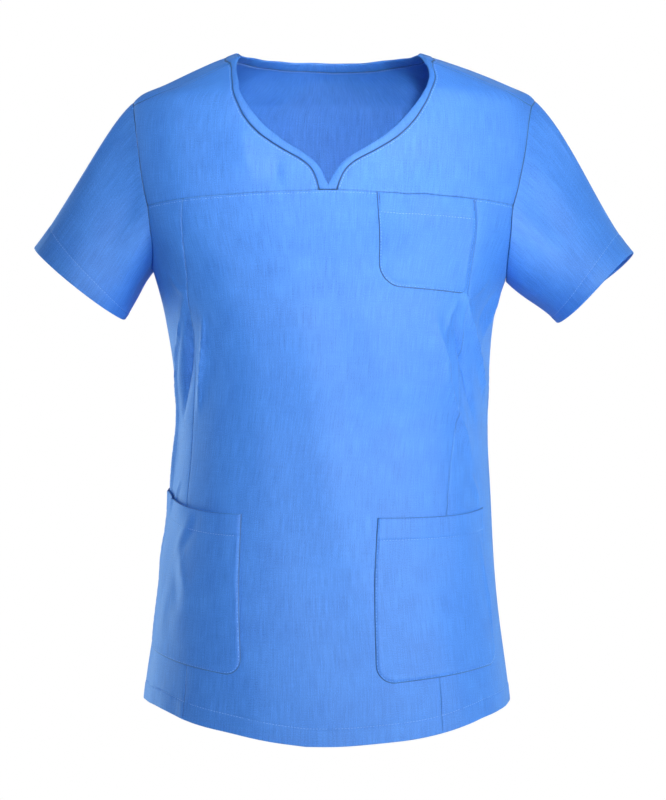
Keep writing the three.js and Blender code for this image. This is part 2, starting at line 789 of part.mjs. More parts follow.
// The rows of a sleeve, with the last two on the turned-up hem.
function sleeveRows(lines) {
  const hemSteps = [SLEEVE_HEM_DEPTH + HEM_STEP, SLEEVE_HEM_DEPTH, 0];
  const rowCount = STEPS.sleeve + 2;
  return Array.from({ length: rowCount + 1 }, (unused, row) =>
    lines.map(({ point, end, start, finish, length }) => {
      const beforeEnd = (depth) => 1 - depth / (length * CUFF_PULL);
      const whole = beforeEnd(hemSteps[0]);
      const onHem = row - STEPS.sleeve;
      const t = onHem > 0 ? beforeEnd(hemSteps[onHem]) : (whole * row) / STEPS.sleeve;
      const rest = 1 - t;
      return new THREE.Vector3()
        .addScaledVector(point, (1 + 2 * t) * rest * rest)
        .addScaledVector(start, t * rest * rest)
        .addScaledVector(end, t * t * (3 - 2 * t))
        .addScaledVector(finish, -t * t * rest);
    }),
  );
}

function makeSleeve(name, cuff) {
  return piece(name, wallGeometry(drawIn(sleeveGrid(cuff), true), true));
}

// A patch pocket follows the panel beneath it, moved out to lie just clear. Its lower corners are
// rounded by drawing the lowest rows in.
function makePocket(pocket) {
  const mix = THREE.MathUtils.lerp;
  const innerHeight = pocket.inner_top_height - pocket.inner_bottom_height;
  const outerHeight = pocket.outer_top_height - pocket.outer_bottom_height;
  const meanHeight = (innerHeight + outerHeight) / 2;
  const largest = Math.max(pocket.inner_corner, pocket.outer_corner);
  const cornerRows = evenSteps(STEPS.pocket_corner).map(
    (step) => largest * (1 - Math.cos((step * Math.PI) / 2)),
  );
  const upperRows = evenSteps(STEPS.pocket_above_corner).map((step) => mix(largest, meanHeight, step));
  const drawn = (radius, up) => (up < radius ? radius - Math.sqrt(radius ** 2 - (radius - up) ** 2) : 0);
  const grid = cornerRows.concat(upperRows.slice(1)).map((up) => {
    const v = up / meanHeight;
    const inner = mix(pocket.inner_bottom, pocket.inner_top, v);
    const outer = mix(pocket.outer_bottom, pocket.outer_top, v);
    const innerDrawn = inner + drawn(pocket.inner_corner, up) / CHART_MM_PER_DEGREE;
    const outerDrawn = outer - drawn(pocket.outer_corner, up) / CHART_MM_PER_DEGREE;
    const line = evenSteps(STEPS.pocket_across).map((step) => {
      const turn = mix(innerDrawn, outerDrawn, step);
      const s = (turn - inner) / (outer - inner);
      const bottom = mix(pocket.inner_bottom_height, pocket.outer_bottom_height, s);
      const top = mix(pocket.inner_top_height, pocket.outer_top_height, s ** pocket.top_curve);
      const { point, normal } = clothAt(pocket.side * turn, mix(bottom, top, v));
      point.addScaledVector(normal, POCKET_CLEAR + POCKET_WALL);
      return { point, normal, wall: POCKET_WALL };
    });
    return pocket.side > 0 ? line : reversed(line);
  });
  return piece(pocket.name, wallGeometry(grid));
}

const scrubTop = new THREE.Group();
scrubTop.add(
  makeFrontCentre(),
  makeFrontSide("front_side_left", 1),
  makeFrontSide("front_side_right", -1),
  makeYoke("yoke_left", 1),
  makeYoke("yoke_right", -1),
  makeBack(),
  makeBackYoke(),
  makeNeckband(),
  makeSleeve("sleeve_left", CUFFS.find((cuff) => cuff.side > 0)),
  makeSleeve("sleeve_right", CUFFS.find((cuff) => cuff.side < 0)),
  ...POCKETS.map(makePocket),
);

export default scrubTop;
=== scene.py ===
# %% [markdown]
# # A scrub top in thin woven cloth
# The part is a hip-length work top with a yoke, princess seams, short sleeves and three patch
# pockets, filled out as on a wearer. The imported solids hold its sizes. This script dresses each
# solid in thin cloth on the same form, then adds creases, stitches, a weave and studio light.

# %% Load the solids
import math

import bpy
import numpy as np
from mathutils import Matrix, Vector
from mathutils.geometry import delaunay_2d_cdt


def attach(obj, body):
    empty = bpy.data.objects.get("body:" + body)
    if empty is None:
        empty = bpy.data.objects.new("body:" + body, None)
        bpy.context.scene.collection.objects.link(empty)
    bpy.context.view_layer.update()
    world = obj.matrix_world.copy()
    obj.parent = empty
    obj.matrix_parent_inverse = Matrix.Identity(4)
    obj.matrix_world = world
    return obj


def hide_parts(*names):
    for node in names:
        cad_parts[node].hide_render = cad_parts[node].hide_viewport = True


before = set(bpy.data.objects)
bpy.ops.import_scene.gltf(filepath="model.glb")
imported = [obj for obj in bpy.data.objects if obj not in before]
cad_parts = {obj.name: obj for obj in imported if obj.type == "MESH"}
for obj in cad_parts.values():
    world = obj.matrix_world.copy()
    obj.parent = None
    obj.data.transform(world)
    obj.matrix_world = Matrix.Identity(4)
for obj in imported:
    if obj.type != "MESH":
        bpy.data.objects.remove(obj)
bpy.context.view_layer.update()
print("solids", sorted(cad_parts))

# %% [markdown]
# ## The form under the cloth
# A filled-out garment is easiest to describe as a stack of ovals. A place on it is a turn round the
# body, 0 at the centre front and 90 at the wearer's left side, and a height below the shoulders.
# These are the sizes that the solids were made from, so the cloth lies where they are. All sizes
# in the tables are in millimetres and degrees.

# %% The form's sections
MM = 0.001
CHART_MM_PER_DEGREE = 2.9
CHART_MM_ROUND = 360 * CHART_MM_PER_DEGREE
RING_COLUMNS = ["height", "half_width", "front", "back", "front_fullness", "back_fullness", "shift", "turned"]
RINGS = [
    [-665, 186, 129, 122, 0.18, 0.18, -6, -6],
    [-612, 181, 127, 119, 0.18, 0.18, -6, -6],
    [-548, 173, 124, 113, 0.19, 0.2, -6, -6.8],
    [-484, 165.5, 121, 105, 0.2, 0.2, -4.5, -7.8],
    [-420, 159.5, 118, 97, 0.2, 0.2, -2.5, -7.6],
    [-356, 155, 117, 93, 0.2, 0.2, -1, -5.5],
    [-300, 157, 121, 96, 0.22, 0.2, -1.5, -2.5],
    [-244, 163.5, 124, 102, 0.24, 0.22, -3, -1.5],
    [-200, 176, 116, 107, 0.25, 0.24, -1.5, -1.5],
    [-150, 197, 100, 108, 0.24, 0.24, 0, -1.6],
    [-105, 206, 87, 103, 0.22, 0.22, 0, -1.2],
    [-60, 208, 78, 93, 0.16, 0.16, 0, -0.8],
    [-32, 204, 71, 85, 0.12, 0.12, 1, -0.8],
    [-22, 196, 68.5, 82, 0.1, 0.1, 2, -1],
    [-12, 174, 65, 78, 0.08, 0.08, 3, -1],
    [4, 137.5, 58, 71, 0.05, 0.05, 0.5, -1],
    [12, 117, 53, 66, 0.04, 0.04, -2, -1],
    [23, 87, 46, 60, 0.02, 0.02, -4, -1],
    [45, 62, 36, 50, 0, 0, -4, -1],
]


def smooth_curve(xs, ys):
    """A smooth curve through samples that never overshoots them."""
    xs, ys = np.array(xs, float), np.array(ys, float)
    step = np.diff(xs)
    slope = np.diff(ys) / step
    tangent = np.concatenate([slope[:1], np.zeros(len(xs) - 2), slope[-1:]])
    before, after = 2 * step[1:] + step[:-1], step[1:] + 2 * step[:-1]
    rising = slope[:-1] * slope[1:] > 0
    first, second = np.where(rising, slope[:-1], 1), np.where(rising, slope[1:], 1)
    tangent[1:-1] = np.where(rising, (before + after) / (before / first + after / second), 0)

    def at(x):
        x = np.clip(x, xs[0], xs[-1])
        i = np.clip(np.searchsorted(xs, x) - 1, 0, len(step) - 1)
        h, t = step[i], (x - xs[i]) / step[i]
        rest = 1 - t
        return (
            (1 + 2 * t) * rest * rest * ys[i]
            + t * rest * rest * h * tangent[i]
            + t * t * (3 - 2 * t) * ys[i + 1]
            - t * t * rest * h * tangent[i + 1]
        )

    return at


ring = dict(zip(RING_COLUMNS, zip(*RINGS)))
ring_at = {name: smooth_curve(ring["height"], ring[name]) for name in RING_COLUMNS[1:]}


def form_point(turn, height):
    """Points of the smooth form, in millimetres."""
    angle = np.radians(turn + ring_at["turned"](height))
    across, along = np.sin(angle), np.cos(angle)
    in_front = along >= 0
    depth = np.where(in_front, ring_at["front"](height), ring_at["back"](height))
    fullness = np.where(in_front, ring_at["front_fullness"](height), ring_at["back_fullness"](height))
    x = ring_at["shift"](height) + ring_at["half_width"](height) * across
    y = -depth * along * (1 + fullness * across * across)
    return np.stack([x, y, np.broadcast_to(height, x.shape)], axis=-1)


def unit(vectors):
    return vectors / np.maximum(np.linalg.norm(vectors, axis=-1, keepdims=True), 1e-9)


def form_normal(turn, height, turn_step=0.2, height_step=0.4):
    """Directions that point out of the form."""
    round_it = form_point(turn + turn_step, height) - form_point(turn - turn_step, height)
    up = form_point(turn, height + height_step) - form_point(turn, height - height_step)
    return unit(np.cross(round_it, up))


print("chest half width", ring_at["half_width"](-200), "waist", ring_at["half_width"](-356))

# %% [markdown]
# ## Folds and creases
# Cloth on a filled-out form drags into soft ridges where it is pulled, here from both bust points
# and armpits down towards the waist. A simulation would find its own folds, and not these, so
# each is placed one by one. The wide ones are those of the solids. The fine ones run on curved
# lines and are steeper on one side, as a dragged crease is.

# %% The folds
FOLDS = [
    # from_turn, from_height, to_turn, to_height, width, rise
    [-51, -203, -75, -348, 14, 3.2],
    [-51, -222, -66, -352, 12, -3],
    [-45, -238, -54, -350, 12, 2.4],
    [-72, -322, -74, -425, 15, 2.4],
    [38, -232, 51, -328, 14, 3],
    [47, -292, 72, -396, 14, 3],
    [51, -210, 81, -336, 13, 3],
    [45, -232, 67, -352, 11, -2.8],
    [83, -212, 63, -278, 12, 2.2],
    [24, -48, 25, -126, 20, -1.4],
    [-26, -52, -26, -124, 24, 1.4],
    [112, -232, 97, -352, 18, 3],
    [130, -250, 139, -365, 20, 2.6],
    [157, -150, 167, -330, 30, -3],
    [-112, -236, -98, -346, 18, 3],
    [-131, -246, -141, -370, 20, 2.6],
    [-155, -140, -165, -320, 30, -3],
    [180, -300, 178, -420, 34, 2.6],
]
FOLD_SIDE_FADE = 2.5
FOLD_END_FADE = 1.5
CREASES = [
    # width, rise, places as (turn, height)
    [6, 1.6, [(-52.8, -214.8), (-61.6, -251), (-68.6, -287), (-70.8, -314), (-71.5, -352)]],
    [4.5, 1.3, [(-46.5, -240), (-48.9, -278), (-50.9, -306), (-51.8, -338)]],
    [5, -1.5, [(-54, -232), (-58.1, -277), (-62.3, -314), (-64, -345)]],
    [7, 1.2, [(-71, -330), (-73.5, -380), (-74, -440)]],
    [5, 1.3, [(39.5, -240), (43.9, -272), (47, -289), (48.3, -306), (54.2, -332), (61.8, -357),
              (67.6, -384)]],
    [5, 1.5, [(50.5, -216), (58.6, -250), (65.1, -277), (72.8, -305), (80, -330)]],
    [4, -1.2, [(46.5, -236), (51, -262), (57, -292), (63, -322), (70, -350)]],
    [4, 0.9, [(49.6, -226), (47, -243), (44.4, -264)]],
    [6, 1.1, [(82, -216), (76, -237), (71, -254), (66, -272)]],
    [5, -0.8, [(76, -214), (68, -236), (61, -262)]],
    [7, 0.8, [(66, -395), (71, -412), (74, -430)]],
    [5, 0.9, [(-60, -402), (-64, -420), (-69, -440)]],
    [7, 1.2, [(107, -226), (103, -262), (99, -300), (97, -344)]],
    [5, -1.0, [(117, -240), (111, -282), (106, -330)]],
    [7, 1.1, [(127, -258), (131, -300), (136, -352)]],
    [7, 1.2, [(-106, -230), (-103, -268), (-100, -304), (-98, -340)]],
    [5, -1.0, [(-118, -246), (-112, -290), (-107, -334)]],
    [7, 1.0, [(-128, -260), (-132, -305), (-138, -356)]],
    [9, 0.9, [(150, -330), (160, -352), (172, -366)]],
    [9, 0.8, [(-152, -336), (-163, -358), (-176, -372)]],
    [10, -0.8, [(146, -366), (160, -384), (176, -392)]],
    [9, 0.7, [(27, -62), (28.5, -95), (28, -128), (25, -152)]],
    [8, -0.6, [(22, -70), (23, -100), (21.5, -136), (20, -160)]],
    [8, 0.6, [(-24, -58), (-23, -85), (-20, -112)]],
    [9, -0.6, [(-13, -86), (-14, -104), (-12, -122)]],
    [5, 0.8, [(-70, -440), (-74, -476), (-75, -505)]],
    [5, 0.7, [(71, -452), (74, -500), (76, -560)]],
    [7, 0.5, [(-43, -608), (-44, -622), (-42, -634)]],
    [6, 0.9, [(64.5, -206), (58, -221), (50, -230)]],
    [6, 0.9, [(-64, -200), (-59, -214), (-53, -222)]],
]


def wrap_turn(turn):
    return turn - 360 * np.round(turn / 360)


def chart(turn, height):
    """A flat map of the form in millimetres: across and up."""
    return np.stack([turn * CHART_MM_PER_DEGREE, np.broadcast_to(height, np.shape(turn))], axis=-1)


def fold_rise(turn, height):
    total = np.zeros(np.broadcast(turn, height).shape)
    for from_turn, from_height, to_turn, to_height, width, rise in FOLDS:
        along_x, along_z = (to_turn - from_turn) * CHART_MM_PER_DEGREE, to_height - from_height
        length = math.hypot(along_x, along_z)
        x, z = wrap_turn(turn - from_turn) * CHART_MM_PER_DEGREE, height - from_height
        along = np.clip((x * along_x + z * along_z) / length**2, 0, 1)
        away = (x * along_z - z * along_x) / length / width
        total += rise * np.exp(-FOLD_SIDE_FADE * away * away) * np.sin(np.pi * along) ** FOLD_END_FADE
    return total


def nearest_on(line, points):
    """How far points are from a line, on which side (+ to its left), and how far along it."""
    start, step = line[:-1], np.diff(line, axis=0)
    length = np.linalg.norm(step, axis=1)
    before = np.concatenate([[0], np.cumsum(length)])
    flat = points.reshape(-1, 2)
    best = np.full(len(flat), np.inf)
    side, along = np.ones(len(flat)), np.zeros(len(flat))
    for i in range(len(start)):
        if length[i] < 1e-9:
            continue
        away = flat - start[i]
        share = np.clip(away @ step[i] / length[i] ** 2, 0, 1)
        gap = away - share[:, None] * step[i]
        distance = np.hypot(gap[:, 0], gap[:, 1])
        closer = distance < best
        best = np.where(closer, distance, best)
        turned = step[i][0] * away[:, 1] - step[i][1] * away[:, 0]
        side = np.where(closer, np.sign(turned), side)
        along = np.where(closer, before[i] + share * length[i], along)
    shape = points.shape[:-1]
    return best.reshape(shape), side.reshape(shape), along.reshape(shape) / before[-1]


def smooth_line(places, count=24):
    """A smooth line through a few places."""
    places = np.array(places, float)
    padded = np.concatenate([places[:1], places, places[-1:]])
    t = np.linspace(0, len(places) - 1, count)
    i = np.minimum(t.astype(int), len(places) - 2)
    t = (t - i)[:, None]
    p0, p1, p2, p3 = padded[i], padded[i + 1], padded[i + 2], padded[i + 3]
    v0, v1 = (p2 - p0) / 2, (p3 - p1) / 2
    return (2 * p1 - 2 * p2 + v0 + v1) * t**3 + (-3 * p1 + 3 * p2 - 2 * v0 - v1) * t**2 + v0 * t + p1


CREASE_STEEP_SIDE = 0.5
CREASE_DEPTH = 2.3
CREASE_NARROWED = 0.8


def crease_rise(turn, height):
    here = chart(wrap_turn(turn), height)
    total = np.zeros(here.shape[:-1])
    for width, rise, places in CREASES:
        line = smooth_line([(t * CHART_MM_PER_DEGREE, h) for t, h in places])
        low, high = line.min(axis=0) - 3 * width, line.max(axis=0) + 3 * width
        near = ((here > low) & (here < high)).all(axis=-1)
        if not near.any():
            continue
        distance, side, along = nearest_on(line, here[near])
        reach = CREASE_NARROWED * width * np.where(side > 0, CREASE_STEEP_SIDE, 1)
        total[near] += CREASE_DEPTH * rise * np.exp(-((distance / reach) ** 2)) * np.sin(np.pi * along) ** 0.8
    return total


WAVES = np.random.default_rng(7)
SOFT_WAVES = [
    (WAVES.uniform(0.008, 0.03), WAVES.uniform(0.004, 0.016),
     WAVES.uniform(0, 2 * np.pi), WAVES.uniform(0.5, 1))
    for _ in range(9)
]
SOFT_WAVE_RISE = 0.34


def soft_waves(turn, height):
    """Broad, low unevenness of hanging cloth."""
    angle = np.radians(wrap_turn(turn))
    total = np.zeros(np.broadcast(turn, height).shape)
    for across, up, start, share in SOFT_WAVES:
        turns = max(1, round(across * CHART_MM_ROUND / 2))
        total += share * np.sin(angle * turns + height * up * 2 + start)
    return total * SOFT_WAVE_RISE


def cloth_point(turn, height, lift=0.0):
    """Points on the cloth's outer face, moved out by lift, and the directions out of it."""
    turn, height = np.broadcast_arrays(np.asarray(turn, float), np.asarray(height, float))
    normal = form_normal(turn, height)
    rise = fold_rise(turn, height) + crease_rise(turn, height) + soft_waves(turn, height) + lift
    return form_point(turn, height) + normal * rise[..., None], normal


print(len(FOLDS), "folds and", len(CREASES), "creases")

# %% [markdown]
# ## Seams
# A maker cuts each piece along its seam lines. Pieces that meet share one line, so the cloth
# pieces here are cut along the same lines as the solids. A seam is a list of (turn, height).

# %% The seam lines
NECK_SEAM_FRONT = [(2.3, -122.1), (4.1, -104), (7.2, -92.5), (12.6, -81.5), (18.9, -67), (23.6, -50),
                   (27.6, -29.5), (30.2, -20), (35, -11.4), (40.4, -2.8), (45, 3), (51, 8)]
NECK_SEAM_BACK = [(51, 8), (70, 14.2), (90, 18), (120, 17), (150, 14.3), (180, 12)]
NECK_EDGE = [(0, -116.7), (2.5, -99.3), (5.9, -87.2), (10.9, -75.5), (16.8, -60.6), (22, -42), (26.4, -24.9),
             (30, -16), (35, -7.4), (39.3, -0.9), (45.7, 7.1), (51.3, 12.3), (57, 16.2),
             (70, 18.9), (90, 21.8), (120, 22), (150, 21.6), (180, 21)]
SHOULDER_SEAM = [(51, 8), (54.5, -7), (61, -20.5), (68, -28.5), (75, -32.5)]
ARMHOLE_YOKE = [(62.8, -133.7), (64.2, -105), (66.2, -78), (68.5, -55), (71.5, -42), (75, -32.5)]
ARMHOLE_SIDE = [(62.8, -133.7), (64.5, -152), (68.5, -172), (76, -193), (83, -202.5), (90, -205.5)]
ARMHOLE_BACK = [(90, -205.5), (97, -202), (104.5, -193), (113, -168), (116.5, -140), (117, -112),
                (115.5, -84),
                (112, -58), (107, -39), (99, -28.5), (90, -25.3), (81, -28), (75, -32.5)]
ARMPIT_LIFT = {1: 0, -1: 11}
ARMPIT_LIFT_FROM, ARMPIT_HEIGHT = -134, -205.5
PRINCESS_SEAM = [(43, -640), (43.3, -585), (48, -500), (52, -433), (53.8, -390), (55.5, -350), (55.2, -300),
                 (54.2, -240), (51.4, -200), (47.4, -160), (44.6, -128)]
HEM_LINE = [(0, -652.5), (10, -650.5), (22, -646), (38, -639.5), (45, -635.5), (55, -629.5), (65, -625.5),
            (77, -623), (90, -622)]
HEM_SKEW = 5.5
PRINCESS_FOOT_HEIGHT = -640
YOKE_CENTRE_HEIGHT, YOKE_DROP, YOKE_CURVE, YOKE_END_TURN = -122, 11.7, 1.6, 62.8
PRINCESS_TOP_TURN, NECK_POINT_TURN, SIDE_TURN = 44.6, 2.3, 90

hem_curve = smooth_curve(*zip(*HEM_LINE))
princess_turn = smooth_curve([h for t, h in PRINCESS_SEAM], [t for t, h in PRINCESS_SEAM])


def hem_height(turn):
    from_middle = np.abs(wrap_turn(turn))
    from_middle = np.minimum(from_middle, 180 - from_middle)
    return hem_curve(from_middle) - HEM_SKEW * np.sin(np.radians(2 * wrap_turn(turn)))


def yoke_height(turn):
    return YOKE_CENTRE_HEIGHT - YOKE_DROP * (np.abs(turn) / YOKE_END_TURN) ** YOKE_CURVE


def even_places(line, count):
    """The same line as count even steps of its length on the flat map."""
    line = np.array(line, float)
    scale = np.array([CHART_MM_PER_DEGREE, 1])
    fine = smooth_line(line, 60 * (len(line) - 1) + 1) * scale
    lengths = np.concatenate([[0], np.cumsum(np.linalg.norm(np.diff(fine, axis=0), axis=1))])
    wanted = np.linspace(0, lengths[-1], count + 1)
    return np.stack([np.interp(wanted, lengths, fine[:, k]) for k in range(2)], axis=1) / scale


def along_turns(from_turn, to_turn, height_at, count):
    turn = np.linspace(from_turn, to_turn, count + 1)
    return np.stack([turn, height_at(turn)], axis=1)


def lifted(line, side):
    line = np.array(line, float)
    share = np.maximum(0, (ARMPIT_LIFT_FROM - line[:, 1]) / (ARMPIT_LIFT_FROM - ARMPIT_HEIGHT))
    line[:, 1] += ARMPIT_LIFT[side] * share**2
    return line


def up_seam(turn_at, top, side, count):
    foot_turn = float(turn_at(PRINCESS_FOOT_HEIGHT))
    height = np.linspace(float(hem_height(side * foot_turn)), top, count + 1)
    return np.stack([turn_at(height), height], axis=1)


def joined(*lines):
    return np.concatenate([lines[0]] + [line[1:] for line in lines[1:]])


def mirrored(line):
    return line * np.array([-1, 1])


def round_the_back(line):
    return np.stack([360 - line[:, 0], line[:, 1]], axis=1)


yoke_inner = along_turns(NECK_POINT_TURN, PRINCESS_TOP_TURN, yoke_height, 60)
yoke_outer = along_turns(PRINCESS_TOP_TURN, YOKE_END_TURN, yoke_height, 24)
armhole_yoke = even_places(ARMHOLE_YOKE, 45)
shoulder_seam = even_places(SHOULDER_SEAM, 45)
neck_front = even_places(NECK_SEAM_FRONT, 64)
neck_back = even_places(NECK_SEAM_BACK, 72)
armhole_side = {side: even_places(lifted(ARMHOLE_SIDE, side), 36) for side in (1, -1)}
armhole_back = {side: even_places(lifted(ARMHOLE_BACK, side), 100) for side in (1, -1)}
princess = {
    side: up_seam(princess_turn, float(yoke_height(PRINCESS_TOP_TURN)), side, 170) for side in (1, -1)
}
side_seam = {
    side: up_seam(
        lambda h: np.full(np.shape(h), float(SIDE_TURN)), ARMPIT_HEIGHT + ARMPIT_LIFT[side], side, 140)
    for side in (1, -1)
}
print("princess seams from", princess[1][0], "to", princess[1][-1])

# %% [markdown]
# ## Cutting a piece of cloth
# A cut piece has an odd outline, so a plain grid would pinch in its corners. Its outline is laid
# on a flat map instead, filled with even points, and joined into triangles by Blender's own
# Delaunay function. The flat map is stretched over the shoulders, where the form is nearly level.
# Each point is then set on the form, and a second layer behind it closes the cloth at its edge.

# %% The flat map
CELL = 3.2
EDGE_ROWS = (0.5, 1.1, 2.0, 3.2)
HEM_ROWS = (-1.6, -0.8, 0, 0.8, 1.6)
CLOTH_THICKNESS = 0.85
HEM_THICKNESS = 1.5
EDGE_ROLL = 0.45
SEAM_VALLEY = 0.22
SEAM_VALLEY_REACH = 2.2
MAP_SPREAD = 1.0

map_heights = np.linspace(-680, 40, 1441)
map_slope = np.gradient(ring_at["half_width"](map_heights), map_heights)
map_ups = np.concatenate([[0], np.cumsum(0.5 * np.hypot(1, map_slope[1:] * MAP_SPREAD))])


def to_map(places):
    up = np.interp(places[..., 1], map_heights, map_ups)
    return np.stack([places[..., 0] * CHART_MM_PER_DEGREE, up], axis=-1)


def from_map(points):
    return points[..., 0] / CHART_MM_PER_DEGREE, np.interp(points[..., 1], map_ups, map_heights)


def inside_outline(points, outline):
    inside = np.zeros(len(points), bool)
    for (x0, y0), (x1, y1) in zip(outline, np.roll(outline, -1, axis=0)):
        if y0 == y1:
            continue
        crosses = (points[:, 1] < y0) != (points[:, 1] < y1)
        inside ^= crosses & (points[:, 0] < x0 + (points[:, 1] - y0) * (x1 - x0) / (y1 - y0))
    return inside


def closed(outline):
    return np.concatenate([outline, outline[:1]])


def cut_out(outline, hem=None, hem_depth=0):
    """Fills an outline on the flat map with points and triangles; the outline's points come first.
    A hem gets rows of points along its line of stitches, hem_depth above it."""
    step = np.roll(outline, -1, axis=0) - np.roll(outline, 1, axis=0)
    inward = unit(np.stack([-step[:, 1], step[:, 0]], axis=1))
    candidates = [outline + inward * row for row in EDGE_ROWS]
    low, high = outline.min(axis=0), outline.max(axis=0)
    rows = np.arange(low[1], high[1], CELL)
    grid = [
        np.stack([np.arange(low[0] + CELL / 2 * (i % 2), high[0], CELL), np.full_like(
            np.arange(low[0] + CELL / 2 * (i % 2), high[0], CELL), up)], axis=1)
        for i, up in enumerate(rows)
    ]
    kept = [outline]
    if hem is not None:
        low_row, high_row = hem_depth + min(HEM_ROWS) - 1, hem_depth + max(HEM_ROWS) + 1
        every = np.concatenate(grid)
        from_hem, _, _ = nearest_on(hem, every)
        grid = [every[(from_hem < low_row) | (from_hem > high_row)]]
        step = np.gradient(hem, axis=0)
        upward = unit(np.stack([-step[:, 1], step[:, 0]], axis=1)) * np.sign(step[0, 0])
        beside_stitches = np.concatenate([hem + upward * (hem_depth + row) for row in HEM_ROWS])
        beside_stitches = beside_stitches[inside_outline(beside_stitches, outline)]
        distance, _, _ = nearest_on(closed(outline), beside_stitches)
        kept.append(beside_stitches[distance > EDGE_ROWS[-1] + 0.8])
    for row, places in zip(EDGE_ROWS + (EDGE_ROWS[-1] + CELL / 2,), candidates + [np.concatenate(grid)]):
        places = places[inside_outline(places, outline)]
        distance, _, _ = nearest_on(closed(outline), places)
        kept.append(places[distance > row * 0.93])
    points = np.concatenate(kept)
    out = delaunay_2d_cdt([Vector(p) for p in points], [], [list(range(len(outline)))], 1, 1e-5)
    at = np.array([list(p) for p in out[0]])
    faces = np.array([f for f in out[2]], int)
    first = {}
    for new, old in enumerate(out[3]):
        for o in old:
            first[o] = new
    rim = np.array([first[i] for i in range(len(outline))])
    a, b, c = at[faces[:, 0]], at[faces[:, 1]], at[faces[:, 2]]
    area = (b[:, 0] - a[:, 0]) * (c[:, 1] - a[:, 1]) - (b[:, 1] - a[:, 1]) * (c[:, 0] - a[:, 0])
    faces[area < 0] = faces[area < 0][:, ::-1]
    return at, faces[np.abs(area) > 1e-6], rim


# %% [markdown]
# ## What happens along seams and hems
# Cloth rolls under at a seam, so a seam shows as a fine dark line, deepened by shade painted into the
# cloth's colour. The folded-under allowance lifts the cloth a little beside it, up to the topstitch,
# which sinks in and puckers the edge. These are all functions of the distance from a line, added to the
# form's height.

# %% Seam profiles
STITCH_PITCH = 3.0
PUCKER_RISE = 0.16


def roll_under(distance):
    near = np.clip(distance / (2 * EDGE_ROLL), 0, 1)
    roll = EDGE_ROLL * (1 - np.sqrt(1 - (1 - near) ** 2))
    return -roll - SEAM_VALLEY * np.exp(-((distance / SEAM_VALLEY_REACH) ** 2))


def topstitched(distance, along_mm, stitch_at, allowance=0.35):
    """A seam's raised allowance, then a sunk stitch line with small puckers."""
    raised = allowance * (1 / (1 + np.exp((distance - stitch_at - 0.8) / 0.5)))
    sunk = -0.4 * np.exp(-(((distance - stitch_at) / 0.8) ** 2))
    pucker = np.sin(along_mm * 2 * np.pi / 7.3) + np.sin(along_mm * 2 * np.pi / 11.9 + 1) * 0.8
    return raised + sunk + PUCKER_RISE * pucker * np.exp(-(((distance - stitch_at) / 4.5) ** 2))


def hemmed(distance, along_mm, depth):
    """A turned-up hem: a little proud below its stitch line, and wavy along its edge."""
    proud = 0.45 / (1 + np.exp((distance - depth) / 0.6))
    sunk = -0.45 * np.exp(-(((distance - depth) / 0.9) ** 2))
    wave = np.sin(along_mm * 2 * np.pi / 63) + 0.7 * np.sin(along_mm * 2 * np.pi / 37 + 2)
    pucker = np.sin(along_mm * 2 * np.pi / 8.1) + np.sin(along_mm * 2 * np.pi / 13.3 + 1)
    near = np.exp(-(((distance - depth) / 5.0) ** 2))
    return proud + sunk + 0.35 * wave * np.exp(-distance / 30) + 0.12 * pucker * near


def from_line(line, points):
    """How far points of the flat map are from a seam, and how far along it, in millimetres."""
    on_map = to_map(line)
    distance, _, along = nearest_on(on_map, points)
    return distance, along * np.linalg.norm(np.diff(on_map, axis=0), axis=1).sum()


# %% Making mesh objects
def add_mesh(name, points_mm, faces, uvs=None, shade=None):
    """A new object from points in millimetres and faces; uvs is one pair for each point, in metres."""
    mesh = bpy.data.meshes.new(name)
    mesh.from_pydata((np.asarray(points_mm) * MM).tolist(), [], np.asarray(faces).tolist() if isinstance(
        faces, np.ndarray) else faces)
    if uvs is not None:
        layer = mesh.uv_layers.new(name="cloth_map")
        index = np.zeros(len(mesh.loops), np.int32)
        mesh.loops.foreach_get("vertex_index", index)
        layer.data.foreach_set("uv", np.asarray(uvs, np.float32)[index].ravel())
    # shade is the painted seam shade of each point, which darkens the cloth's colour.
    if shade is not None:
        layer = mesh.attributes.new("seam_shade", "FLOAT", "POINT")
        layer.data.foreach_set("value", np.asarray(shade, np.float32))
    mesh.polygons.foreach_set("use_smooth", [True] * len(mesh.polygons))
    mesh.update()
    obj = bpy.data.objects.new(name, mesh)
    bpy.context.scene.collection.objects.link(obj)
    return obj


def tidy_normals(obj):
    """Sharpens only the folds that are too tight to shade smoothly."""
    bpy.ops.object.select_all(action="DESELECT")
    obj.select_set(True)
    bpy.context.view_layer.objects.active = obj
    bpy.ops.object.shade_smooth_by_angle(angle=math.radians(50))
    obj.select_set(False)


def area_of(obj):
    return sum(face.area for face in obj.data.polygons)


# Painted shade: the cloth's colour is darkened along its seams, faintly along every cut edge except hems and
# fully along the neck, shoulder and armhole seams, in place of the shadow in the seam grooves.
FAINT_SEAM_SHADE = 0.32
SEAM_SHADE_REACH = 0.55
both_ways = [shoulder_seam, neck_front, armhole_yoke, neck_back]
deep_seam_shade_lines = [way(line) for line in both_ways for way in (lambda line: line, mirrored, round_the_back)]
for side, way in ((1, lambda line: line), (-1, round_the_back)):
    deep_seam_shade_lines += [armhole_side[side] * [side, 1], way(armhole_back[side])]


def seam_shade(on_map, distance, hem_share):
    """How deep in a seam's painted shadow each point lies: armholes and neck are the deepest seams."""
    shade = FAINT_SEAM_SHADE * np.exp(-((distance / SEAM_SHADE_REACH) ** 2)) * (1 - hem_share)
    near = distance < 2
    for line in deep_seam_shade_lines:
        away, _, _ = nearest_on(to_map(line), on_map[near])
        shade[near] = np.maximum(shade[near], np.exp(-((away / SEAM_SHADE_REACH) ** 2)))
    return shade


pieces = {}


